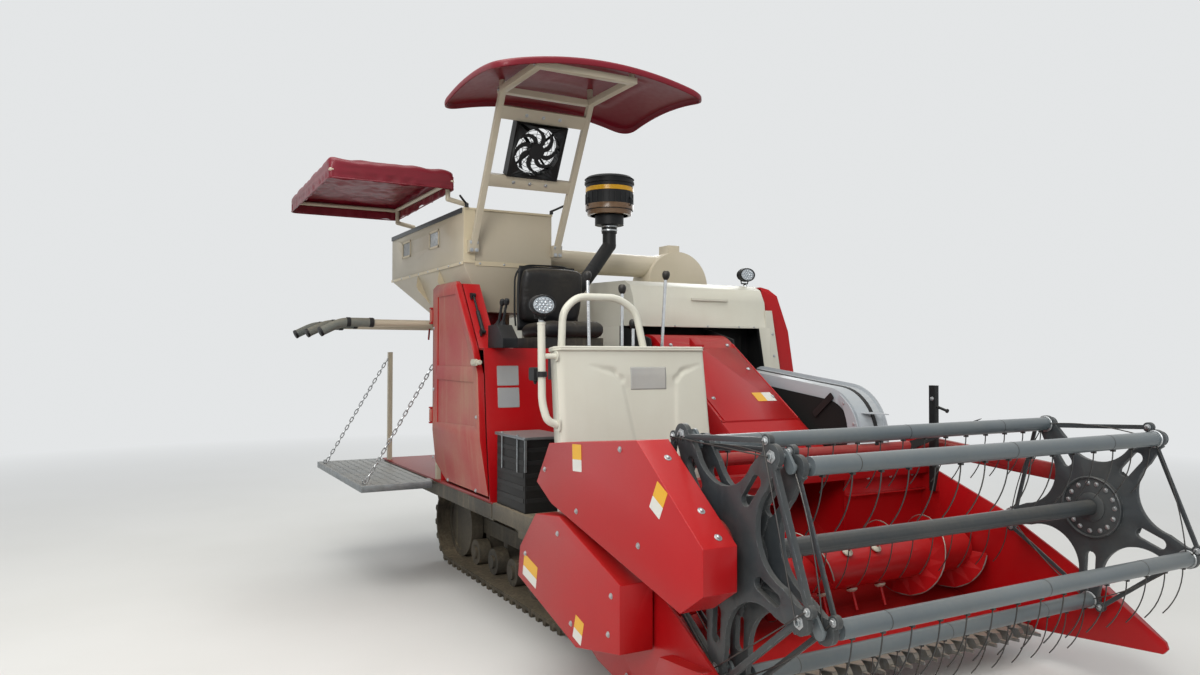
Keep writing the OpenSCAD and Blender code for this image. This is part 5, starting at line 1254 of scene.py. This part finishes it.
# %% Fan guard, bolts and hand clamps on the canopy's posts
FAN = Vector((-309.1, -690.0, 2546.5))
post_way = Vector((0.481, 0.0, 0.877))
fan_way = Vector((0.877, 0.0, -0.481))
GUARD_WIRE = 1.5
bm = bmesh.new()
behind = FAN - fan_way * 26
for radius in (48, 68, 88, 108, 128):
    ring = [tuple(behind + radius * (math.cos(t) * post_way + Vector((0, math.sin(t), 0))))
        for t in around(40)]
    tube(bm, ring, GUARD_WIRE, 6, closed=True)
for t in around(12):
    ray = math.cos(t) * post_way + Vector((0, math.sin(t), 0))
    tube(bm, [tuple(behind + ray * 10), tuple(behind + ray * 133)], GUARD_WIRE, 6)
turned(bm, tuple(behind), tuple(fan_way), [(38, -3), (38, 2), (30, 6)], 24)
piece(bm, "fan_guard", black_plastic, "chassis", (), 0)
bm = bmesh.new()
for along in (-190, 190):
    for y in (-100, 0, 100):
        place = FAN + post_way * along + fan_way * 14 + Vector((0, y, 0))
        bolt(bm, tuple(place), tuple(fan_way), 7)
for y in (-950, -420):
    for z in (2003, 2047):
        bolt(bm, (-576, y - 15, z), FORWARD, 8)
        bolt(bm, (-576, y + 15, z), FORWARD, 8)
    for x in (-172, 290):
        bolt(bm, (x, y - 20, 2814), RIGHT, 7)
piece(bm, "frame_bolts", zinc, "chassis", (), 0)
bm = bmesh.new()
for y, turn in ((-988, -1), (-452, 1)):
    turned(bm, (-600, y, 2254), UP, [(11, -4), (11, 14), (7, 18)], 16)
    grip = [(-600, y, 2268), (-585, y + 18 * turn, 2276), (-540, y + 62 * turn, 2300)]
    tube(bm, bent(grip, 12), 6.5, 10, ready=True)
piece(bm, "hand_clamps", black_plastic, "chassis", (), 0.5)

# %% [markdown]
# ## Grain tank
# The tank is folded from thin sheet. What shows that is its seams: a flange all round the rim, a lapped
# joint where the box meets the hopper, an upright angle at the front corner, and windows closed by wire
# cloth, which show how full it is.

# %% Flanges, seams and corner angle
cream_sheet = paint("cream_trim", "#cdc1a5", "#b9ab8e", dust=0.3, streaks=0.3, wear=0.5, rough=0.42,
    coat=0.15)
bm = bmesh.new()
block(bm, -2122, -640, -1006, -1000, 2222, 2251)
piece(bm, "tank_rim_strip", moulded, "chassis", (), 1.0)
bm = bmesh.new()
block(bm, -620, -609, -1000, -440, 2238, 2250)
block(bm, -620, -613, -1000, -930, 1932, 2238)
block(bm, -620, -614, -930, -440, 1918, 1945)
block(bm, -2120, -620, -1005, -1000, 1922, 1940)
slope = Vector((0, 130, -280)).normalized()
for x in (-1500, -1060):
    foot = Vector((x, -1000, 1925))
    gusset = [(0, 0), (0, 210), (70, 30), (70, 0)]
    cut_sheet(bm, gusset, tuple(foot + Vector((0, 2, 0))), (0, -0.15, -1), tuple(slope), 4)
piece(bm, "tank_seams", cream_sheet, "chassis", (), 1.2)
bm = bmesh.new()
for x in range(-2060, -640, 200):
    turned(bm, (x, -1005, 1931), RIGHT, [(7, 0), (6, 2.5), (3, 4)], 12)
for y in range(-900, -440, 150):
    turned(bm, (-614, y, 1931), FORWARD, [(7, 0), (6, 2.5), (3, 4)], 12)
piece(bm, "tank_rivets", zinc, "chassis", (), 0)

# %% [markdown]
# The windows are wire cloth in thin frames. The wires are real tubes, because light has to pass between
# them. The level wires lie a little in front of the upright ones, which looks woven from a step away and
# needs far fewer faces than a true weave.

# %% Windows of wire cloth
bm = bmesh.new()
frames = bmesh.new()
for x0, x1 in ((-1840, -1670), (-1240, -1070)):
    for i in range(29):
        x = x0 + (x1 - x0) * (i + 0.5) / 29
        tube(bm, [(x, -996, 2079), (x, -996, 2171)], 0.9, 5)
    for i in range(15):
        z = 2080 + 90 * (i + 0.5) / 15
        tube(bm, [(x0 - 1, -997.5, z), (x1 + 1, -997.5, z)], 0.9, 5)
    for left, right, low, high in ((x0 - 12, x1 + 12, 2168, 2182), (x0 - 12, x1 + 12, 2068, 2082),
            (x0 - 12, x0 + 2, 2068, 2182), (x1 - 2, x1 + 12, 2068, 2182)):
        block(frames, left, right, -1003.5, -1000, low, high)
piece(bm, "window_cloth", zinc, "chassis", (), 0)
piece(frames, "window_frames", cream_sheet, "chassis", (), 0.8)

# %% [markdown]
# ## Awning
# A piece of coated canvas is pulled over a tube frame and laced below. It hangs a little between the tubes,
# rounds over the edge, and its skirt has upright folds that fade towards the taut corners. The sheet is
# made as rings again: rings across the top, one group round the edge, and the skirt.

# %% Canvas over its frame
canvas = paint("red_canvas", "#630818", "#7b1429", share=0.7, dust=0.03, streaks=0.12, wear=0.0, rough=0.42,
    coat=0.2, grain_size=700)


def woven(material, pitch):
    """Replace the fine grain of a cloth by two crossed sets of threads of this pitch in metres."""
    tree = material.node_tree
    bump = next(n for n in tree.nodes if n.bl_idname == "ShaderNodeBump")
    place = tree.nodes.new("ShaderNodeTexCoord")
    settings = {"Vector": place.outputs["Object"], "Scale": 0.314 / pitch}
    threads = [node(tree, "ShaderNodeTexWave", settings, bands_direction=way).outputs["Fac"] for way in "XY"]
    wire(tree, bump.inputs["Height"], math_node(tree, "MULTIPLY", *threads))


woven(canvas, 0.004)
AWNING = (-1145.0, -1420.0)
AWNING_L, AWNING_W = 1190, 700
plan = outline_points(AWNING_L, AWNING_W, 46, 17)


def rise(x):
    """0 at the awning's rear edge, 1 at its front edge."""
    return (x - AWNING[0]) / AWNING_L + 0.5


def ridge_height(x):
    """Height of the canvas's top, which rises towards the front."""
    return 2412 + 32 * rise(x)


rings = []
for i in range(1, 25):
    share = i / 24 * 0.93
    ring = []
    for p in plan:
        x, y = AWNING[0] + p.x * share, AWNING[1] + p.y * share
        sag = 24 * (1 - (share / 0.93) ** 3)
        pull = noise.noise(Vector((x * 0.006, y * 0.006, 3))) * 16
        pull += noise.noise(Vector((x * 0.02, y * 0.016, 7))) * 8
        ring.append(at(x, y, ridge_height(x) - sag + pull * min(1, (1.1 - share) * 3)))
    rings.append(ring)
over_edge = [(0.952, -1), (0.972, -4), (0.985, -10), (0.992, -19), (0.995, -30)]
for share, drop in over_edge:
    rings.append([at(AWNING[0] + p.x * share, AWNING[1] + p.y * share, ridge_height(AWNING[0] + p.x) + drop
        + 11 * noise.noise(Vector((p.x * 0.013, p.y * 0.013, 9)))) for p in plan])
for i in range(1, 9):
    down = i / 8
    ring = []
    for p in plan:
        x, y = AWNING[0] + p.x, AWNING[1] + p.y
        low = 2314 + 20 * rise(x) + 15 * noise.noise(Vector((x * 0.01, y * 0.01, 1)))
        top = ridge_height(x) - 30
        z = top + (low - top) * down
        fold = 4.2 + 1.4 * noise.noise(Vector((x * 0.03, y * 0.03, z * 0.01)))
        if z < 2366:
            fold += 9 * noise.noise(Vector((x * 0.022, y * 0.022, 5))) + 4
        inwards_x = -2 * p.x / AWNING_L if abs(p.x) > AWNING_L / 2 - 5 else 0
        inwards_y = -2 * p.y / AWNING_W if abs(p.y) > AWNING_W / 2 - 5 else 0
        ring.append(at(x + inwards_x * fold, y + inwards_y * fold, z))
    rings.append(ring)
bm = bmesh.new()
join_rings(bm, rings, caps=False)
bm.faces.new(list(bm.verts)[:len(plan)])
awning = piece(bm, "awning_canvas_sheet", canvas, "chassis", ["awning_canvas"], 0, 80, thick=1.6)
bm = bmesh.new()
low_loop = [at(AWNING[0] + p.x * 0.9935, AWNING[1] + p.y * 0.9885, 2317 + 20 * rise(AWNING[0] + p.x))
    for p in plan]
tube(bm, low_loop, 4, 8, closed=True, ready=True)
piece(bm, "awning_hem_rope", canvas, "chassis", (), 0)

# %% [markdown]
# ## Bagging place
# Three rails reach out over a folding tray, and two chains hold the tray. Each rail has a foam grip, and
# moulded bands stop the foam at its ends.

# %% Foam grips on the bag rails
foam = paint("foam_grip", "#555b59", "#6d716c", dust=0.35, wear=0.0, rough=0.85, coat=0.0, grain_size=320)
bm = bmesh.new()
bands = bmesh.new()
for x in (-1750, -1350, -950):
    tube(bm, bent([(x, -1425, 1590), (x, -1610, 1590), (x, -1732, 1529)], 45), 26, 20, ready=True)
    for y in (-1430, -1560):
        turned(bands, (x, y, 1590), RIGHT, [(27.5, 0), (28, 3), (28, 20), (27.5, 23)], 24)
    turned(bands, (x, -1718, 1536), (0, -0.894, -0.447), [(27.5, 0), (28, 3), (28, 14), (20, 17)], 24)
piece(bm, "rail_grips", foam, "chassis", (), 2)
piece(bands, "rail_grip_bands", black_plastic, "chassis", (), 0.5)

# %% [markdown]
# The chain links are welded ovals, each turned a quarter against the last. A loop lays them along a
# straight line and rounds their number down to a whole one, so that each chain ends in its eyes.

# %% Link chains
PITCH, LINK_R, WIRE = 31.0, 8.6, 3.3
bm = bmesh.new()
for x in (-2080, -980):
    foot, head = Vector((x, -1458, 662)), Vector((x, -1043, 1366))
    way = (head - foot).normalized()
    count = int((head - foot).length / PITCH)
    step = (head - foot).length / count
    for k in range(count):
        centre = foot + way * step * (k + 0.5)
        across = Vector(FORWARD) if k % 2 else way.cross(Vector(FORWARD))
        reach = step / 2 + WIRE - LINK_R
        loop = []
        for t in around(14, 0.5):
            end = way * reach * (1 if math.sin(t) > 0 else -1)
            loop.append(tuple(centre + end + LINK_R * (math.cos(t) * across + math.sin(t) * way)))
        tube(bm, loop, WIRE, 7, closed=True)
    tube(bm, bent([(x, -1047, 1360), (x, -1040, 1374), (x, -1030, 1374)], 8), 4, 8, ready=True)
links = piece(bm, "link_chains", zinc, "chassis", ["platform_chains"], 0)
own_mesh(links)

# %% [markdown]
# The tray is chequer plate: short raised bars whose direction changes from one to the next, so that a
# foot finds grip either way. They throw small shadows that a bump map would miss.

# %% Chequer pattern of the tray
bm = bmesh.new()
for i in range(24):
    for j in range(8):
        x, y = -2165 + 53 * i, -1475 + 52 * j
        turn = 0.7 * (-1) ** (i + j)
        cut_sheet(bm, oblong(26, 6, 2.5), (x, y, 650), (1, turn, 0), (-turn, 1, 0), 1.6)
piece(bm, "tray_chequers", galvanised, "bag_platform", (), 0)

# %% [markdown]
# ## Air cleaner
# The engine breathes through a tall spun-plastic drum. A clear bowl under it, browned by dust, shows when
# it needs emptying. A blank yellow band runs round its top.

# %% Bowl, bands and clips of the air cleaner
CLEANER = (-620, -40)


def beside_cleaner(turn, radius, z):
    """A point at this radius round the cleaner's axis."""
    return CLEANER[0] + radius * math.cos(turn), CLEANER[1] + radius * math.sin(turn), z


bowl = paint("browned_bowl", "#6a4e34", "#8a6b48", dust=0.4, wear=0.0, rough=0.25, coat=0.4, grain_size=60)
bm = bmesh.new()
BOWL = [(121, 0), (137, 2), (141, 30), (150, 34), (150, 62), (148.5, 66)]
turned(bm, (*CLEANER, 2275), UP, BOWL, 48)
piece(bm, "cleaner_bowl", bowl, "chassis", (), 0.6)
bm = bmesh.new()
turned(bm, (*CLEANER, 2420), UP, [(148.4, 0), (149.6, 1), (149.6, 26), (148.4, 27)], 48)
piece(bm, "cleaner_band", label_yellow, "chassis", (), 0)
bm = bmesh.new()
for turn in around(24):
    tube(bm, [beside_cleaner(turn, 149, z) for z in (2345, 2410)], 2.5, 6)
CLIP = [(152, 2326), (158, 2340), (158, 2368), (151, 2380)]
for turn in around(3):
    tube(bm, [beside_cleaner(turn + 0.5, r, z) for r, z in CLIP], 4, 8)
turned(bm, (*CLEANER, 2514), UP, [(140, -1), (128, 4), (60, 9), (14, 10), (12, 22), (6, 25)], 48)
piece(bm, "cleaner_ribs", black_plastic, "chassis", (), 0)
bm = bmesh.new()
for z in (2182, 2206):
    turned(bm, (*CLEANER, z), UP, [(50, -5), (51, -4), (51, 4), (50, 5)], 32)
piece(bm, "hose_clips", zinc, "chassis", (), 0)

# %% [markdown]
# ## Thresher side
# Behind the feeder house the hood hangs over a dark opening. A black rubber curtain hangs in it: it is
# painted shade for the opening, and a curtain like it keeps grain from being thrown out. A pale upright
# plate joins the hood to the red side cover.

# %% Shade curtain, fascia and side plate under the hood
# Near-black rubber: a real rubber flap at the back, and painted shade as the feed curtain and the guard's
# mouth.
black_rubber_and_shade = paint("black_rubber_and_shade", "#0b0c0d", "#141414", share=0.6, dust=0.012, streaks=0.05, wear=0.0,
    rough=0.75, coat=0.0, grain_size=90)
bm = bmesh.new()
columns, drop = 90, 12
grid = []
for j in range(drop + 1):
    row = []
    for i in range(columns + 1):
        y = -72 + 908 * i / columns
        z = 1574 - 560 * j / drop
        flutter = noise.noise(Vector((y * 0.02, 0, z * 0.004)))
        wave = 5 * math.sin(y / 19) * (0.3 + 0.7 * j / drop) + 3 * flutter
        row.append(at(-407 + wave, y, z))
    grid.append(row)
bent_sheet(bm, grid)
# The curtain's near-black sheet is painted shade for the dark opening under the hood.
piece(bm, "feed_curtain_shade", black_rubber_and_shade, "chassis", (), 0, 60, thick=3)
bm = bmesh.new()
side_plate = [(893, 1579), (930, 1579), (930, 1100), (1036, 1100),
    (1034, 1190), (968, 1560), (945, 1690), (893, 1690)]
cut_sheet(bm, side_plate, (-244.5, 0, 0), LEFT, UP, 5)
block(bm, -262, -239, -78, 838, 1574, 1588)
block(bm, -262, -247, 330, 600, 1738, 1752)
piece(bm, "hood_side_plate", cream, "chassis", (), 1)
bm = bmesh.new()
for y, z in ((950, 1540), (962, 1400), (985, 1260), (1010, 1140)):
    turned(bm, (-239.5, y, z), FORWARD, [(9, 0), (9, 2), (6, 3), (5.5, 6), (3, 7.5)], 18)
for y in (-40, 200, 440, 680, 800):
    turned(bm, (-239, y, 1581), FORWARD, [(6, 0), (5.5, 3), (3, 4.5)], 14)
piece(bm, "hood_screws", zinc, "chassis", (), 0)

# %% [markdown]
# The feeder house is a folded box that slopes at 35 degrees. Its top has cross creases that stiffen it, a
# lap joint, bolts and a blank sticker. One helper turns a place on the roof, counted down its slope, into a
# point of the drawing, so that every detail lies flat on the sheet.

# %% Creases, bolts and sticker of the feeder house
SLOPE = math.radians(35)
down_slope = Vector((math.cos(SLOPE), 0, -math.sin(SLOPE)))
off_slope = Vector((math.sin(SLOPE), 0, math.cos(SLOPE)))


def on_feeder(along, y, off):
    """A point on the feeder's roof: along its slope from the upper shaft, across, and off its surface."""
    return tuple(Vector((-200, y, 1344)) + down_slope * along + off_slope * (180 + off))


bm = bmesh.new()
for along in (700, 860):
    for side_y in (-19, 499):
        tube(bm, [on_feeder(along - 3, side_y, 0), on_feeder(along - 3, 240, 1.5)], 5, 8, flat=0.5)
tube(bm, [on_feeder(745, -18, 0), on_feeder(745, 498, 0)], 7, 8, flat=0.5)
for y in (-14, 494):
    tube(bm, [on_feeder(40, y, 0), on_feeder(740, y, 0)], 6, 8)
piece(bm, "feeder_creases", red, "header", (), 0)
bm = bmesh.new()
for along in (60, 300, 560):
    for y in (40, 440):
        bolt(bm, on_feeder(along, y, 8 if along < 600 else 0), tuple(off_slope), 8)
piece(bm, "feeder_bolts", zinc, "header", (), 0)
for name, material, y0, y1 in (("yellow", label_yellow, 318, 382), ("white", label_white, 382, 446)):
    bm = bmesh.new()
    sticker = rounded([(0, y0), (0, y1), (76, y1), (76, y0)], 4)
    cut_sheet(bm, sticker, on_feeder(520, 0, 8.3), tuple(down_slope), LEFT, 0.7)
    piece(bm, "feeder_label_" + name, material, "header", (), 0)

# %% [markdown]
# A moulded guard covers the chain drive beside the feeder. Its outline is a belt round a small and a large
# circle, so a helper works it out from two radii. The guard is open towards the feeder, where its rim ends
# in a pale crescent round a flat black sheet, which is painted shade for the guard's inside. A rubber strap
# holds it, and a dark shield sticks out in front.

# %% Shaded mouth, crescent, strap and shield of the drive guard
SMALL_END, LARGE_END = Vector((-50, 1220)), Vector((660, 980))
axis_turn = math.atan2((LARGE_END - SMALL_END).y, (LARGE_END - SMALL_END).x)
lap = math.asin((260 - 100) / (LARGE_END - SMALL_END).length)


def guard_loop(small, large):
    """The guard's outline in x and z, with these radii round its small and its large end."""
    steps = 26
    reach = math.pi / 2 + lap
    turns = [(-reach + 2 * reach * i / steps, LARGE_END, large) for i in range(steps + 1)]
    turns += [(reach + (2 * math.pi - 2 * reach) * i / 10, SMALL_END, small) for i in range(11)]
    return [(c.x + r * math.cos(axis_turn + t), c.y + r * math.sin(axis_turn + t)) for t, c, r in turns]


def ring_sector(centre, inner, outer, start, end):
    """A flat piece of a ring between two turns in degrees, narrowing to its ends."""
    steps = 30
    turns = [math.radians(start + (end - start) * i / steps) for i in range(steps + 1)]
    waist = [1 - 0.75 * abs(2 * i / steps - 1) ** 3 for i in range(steps + 1)]
    far = [(centre[0] + outer * math.cos(t), centre[1] + outer * math.sin(t)) for t in turns]
    depths = [outer - (outer - inner) * w for w in waist]
    near = [(centre[0] + r * math.cos(t), centre[1] + r * math.sin(t)) for t, r in zip(turns, depths)]
    return far + near[::-1]


bm = bmesh.new()
# The mouth is a flat black sheet across the guard's opening: painted shade for its inside.
cut_sheet(bm, guard_loop(40, 196), (0, 548.5, 0), FORWARD, UP, 2.5)
piece(bm, "guard_mouth_shade", black_rubber_and_shade, "header", (), 0)
bm = bmesh.new()
cut_sheet(bm, ring_sector(tuple(LARGE_END), 176, 256, -128, 62), (0, 541, 0), FORWARD, UP, 9)
upper_lug = [(120, 1070), (250, 1130), (205, 1205), (80, 1150)]
lower_lug = [(250, 930), (420, 905), (430, 965), (270, 1010)]
cut_sheet(bm, rounded(upper_lug, 14), (0, 546, 0), FORWARD, UP, 16)
cut_sheet(bm, rounded(lower_lug, 10), (0, 546, 0), FORWARD, UP, 12)
piece(bm, "guard_crescent", guard_grey, "header", (), 2.0)
bm = bmesh.new()
inner, outer = guard_loop(100.4, 260.4), guard_loop(103.6, 263.6)
edges = ((640, inner), (640, outer), (664, outer), (664, inner))
rings = [[at(x, y, z) for x, z in loop] for y, loop in edges]
join_rings(bm, rings, closed=True)
strap_end = [(600, 1075), (735, 1185), (712, 1213), (577, 1103)]
cut_sheet(bm, rounded(strap_end, 6), (0, 541, 0), FORWARD, UP, 6)
shield = [(700, 935), (1310, 1168), (1170, 1092), (960, 985), (820, 905)]
cut_sheet(bm, rounded(shield, 8), (0, 566, 0), FORWARD, (0, 0.35, 1), 5)
piece(bm, "guard_strap_and_shield", black_plastic, "header", (), 1.0)
bm = bmesh.new()
for t in (-100, -60, -20, 20, 50):
    a = math.radians(t)
    bolt(bm, (LARGE_END.x + 236 * math.cos(a), 532, LARGE_END.y + 236 * math.sin(a)), RIGHT, 6)
piece(bm, "guard_bolts", zinc, "header", (), 0)
bm = bmesh.new()
tube(bm, [(984, 1018, 1140), (1046, 1018, 1122)], 7, 10)
turned(bm, (1046, 1018, 1122), (1, 0, -0.3), [(11, 0), (11, 6), (7, 9)], 14)
piece(bm, "divider_peg", black_plastic, "header", (), 0)

# %% [markdown]
# The left side and the back are plain in machines of this kind: flush covers with pressed louvres and turn
# latches on their leaning upper half, and a rubber flap where the straw leaves. The flap is a bent grid
# with a sway and a wave in it, and a modifier gives it thickness.

# %% Louvres and latches on the left covers, flap at the back
def cover_face(z):
    """Where the leaning half of the left cover is, across the machine, at height z."""
    return 1150 - (z - 1190) * 65 / 370


bm = bmesh.new()
for x0 in (-1840, -760):
    for z in range(1310, 1500, 34):
        cut_sheet(bm, [(0, 0), (11, 5), (11, 9), (-4, 22)], (x0, cover_face(z), z), LEFT, UP, 240)
piece(bm, "left_louvres", red, "chassis", (), 1.5)
LATCH = [(24, -3), (24, 2), (20, 4), (18, 1.5), (9, 1.5), (9, 6), (6, 8)]
bm = bmesh.new()
for x in (-2090, -1660, -1460, -1000, -800, -330):
    turned(bm, (x, cover_face(1270), 1270), (0, 1, 0.17), LATCH, 24)
piece(bm, "left_latches", black_plastic, "chassis", (), 0)
bm = bmesh.new()
flap_columns, flap_rows = 60, 8
grid = []
for j in range(flap_rows + 1):
    sway = 4 * math.sin(j / flap_rows * math.pi)
    grid.append([at(-2406 - sway + 3 * math.sin(y / 30), y, 1040 - 290 * j / flap_rows)
        for y in (-66 + 952 * i / flap_columns for i in range(flap_columns + 1))])
bent_sheet(bm, grid)
piece(bm, "straw_flap", black_rubber_and_shade, "chassis", (), 0, 60, thick=4)
bm = bmesh.new()
block(bm, -2412, -2400, -66, 886, 1030, 1056)
for x in (-2380, -2240):
    for z in (960, 1200, 1390):
        bolt(bm, (x, 900, z), LEFT, 7)
        bolt(bm, (x, -80, z), RIGHT, 7)
piece(bm, "rear_bolts", zinc, "chassis", (), 0)

# %% [markdown]
# ## Floor and background
# A plain pale floor takes the machine's shadow. Lamps light it only near the machine, so it turns by itself
# into the backdrop's tone further out, and no horizon shows. The camera, polished metal and glass see a
# pale world behind it.

# %% Floor and world
BACKDROP, BACKDROP_LIGHT = colour("#e9ebec"), 0.95
floor_mesh = bpy.data.meshes.new("floor")
floor_mesh.from_pydata([(-30, -30, 0), (30, -30, 0), (30, 30, 0), (-30, 30, 0)], [], [(0, 1, 2, 3)])
floor = bpy.data.objects.new("floor", floor_mesh)
scene.collection.objects.link(floor)
floor_material = bpy.data.materials.new("pale_floor")
floor_material.use_nodes = True
floor_tree = floor_material.node_tree
floor_shader = floor_tree.nodes["Principled BSDF"]
speckle = use(floor_tree, fade_tree, Fresh=colour("#d9d8d4"), Faded=colour("#d2d1cc"),
    Size=0.8, Share=0.6)["Color"]
wire(floor_tree, floor_shader.inputs["Base Color"], speckle)
floor_shader.inputs["Roughness"].default_value = 0.85
floor_place = floor_tree.nodes.new("ShaderNodeTexCoord")
from_middle = node(floor_tree, "ShaderNodeVectorMath", {0: floor_place.outputs["Object"]}, operation="LENGTH")
far_off = ramp(floor_tree, from_middle.outputs["Value"], 3.2, 11.0)
glow = node(floor_tree, "ShaderNodeEmission", {"Color": BACKDROP, "Strength": BACKDROP_LIGHT})
faded = node(floor_tree, "ShaderNodeMixShader", {0: far_off, 1: floor_shader.outputs[0], 2: glow.outputs[0]})
floor_out = next(n for n in floor_tree.nodes if n.bl_idname == "ShaderNodeOutputMaterial")
floor_tree.links.new(faded.outputs[0], floor_out.inputs["Surface"])
floor_mesh.materials.append(floor_material)

world = bpy.data.worlds.new("world")
scene.world = world
world.use_nodes = True
tree = world.node_tree
tree.nodes.clear()
rays = tree.nodes.new("ShaderNodeLightPath")
shade = node(tree, "ShaderNodeBackground", {"Color": colour("#e2e8ee"), "Strength": 0.36})
shown = node(tree, "ShaderNodeBackground", {"Color": BACKDROP, "Strength": BACKDROP_LIGHT})
sees = math_node(tree, "MAXIMUM", rays.outputs["Is Camera Ray"], rays.outputs["Is Glossy Ray"])
sees = math_node(tree, "MAXIMUM", sees, rays.outputs["Is Transmission Ray"])
mixed = node(tree, "ShaderNodeMixShader", {0: sees, 1: shade.outputs[0], 2: shown.outputs[0]})
tree.links.new(mixed.outputs[0], tree.nodes.new("ShaderNodeOutputWorld").inputs[0])
print("floor and world", len(floor_tree.nodes), "and", len(tree.nodes), "nodes")

# %% Finish
bpy.context.view_layer.update()
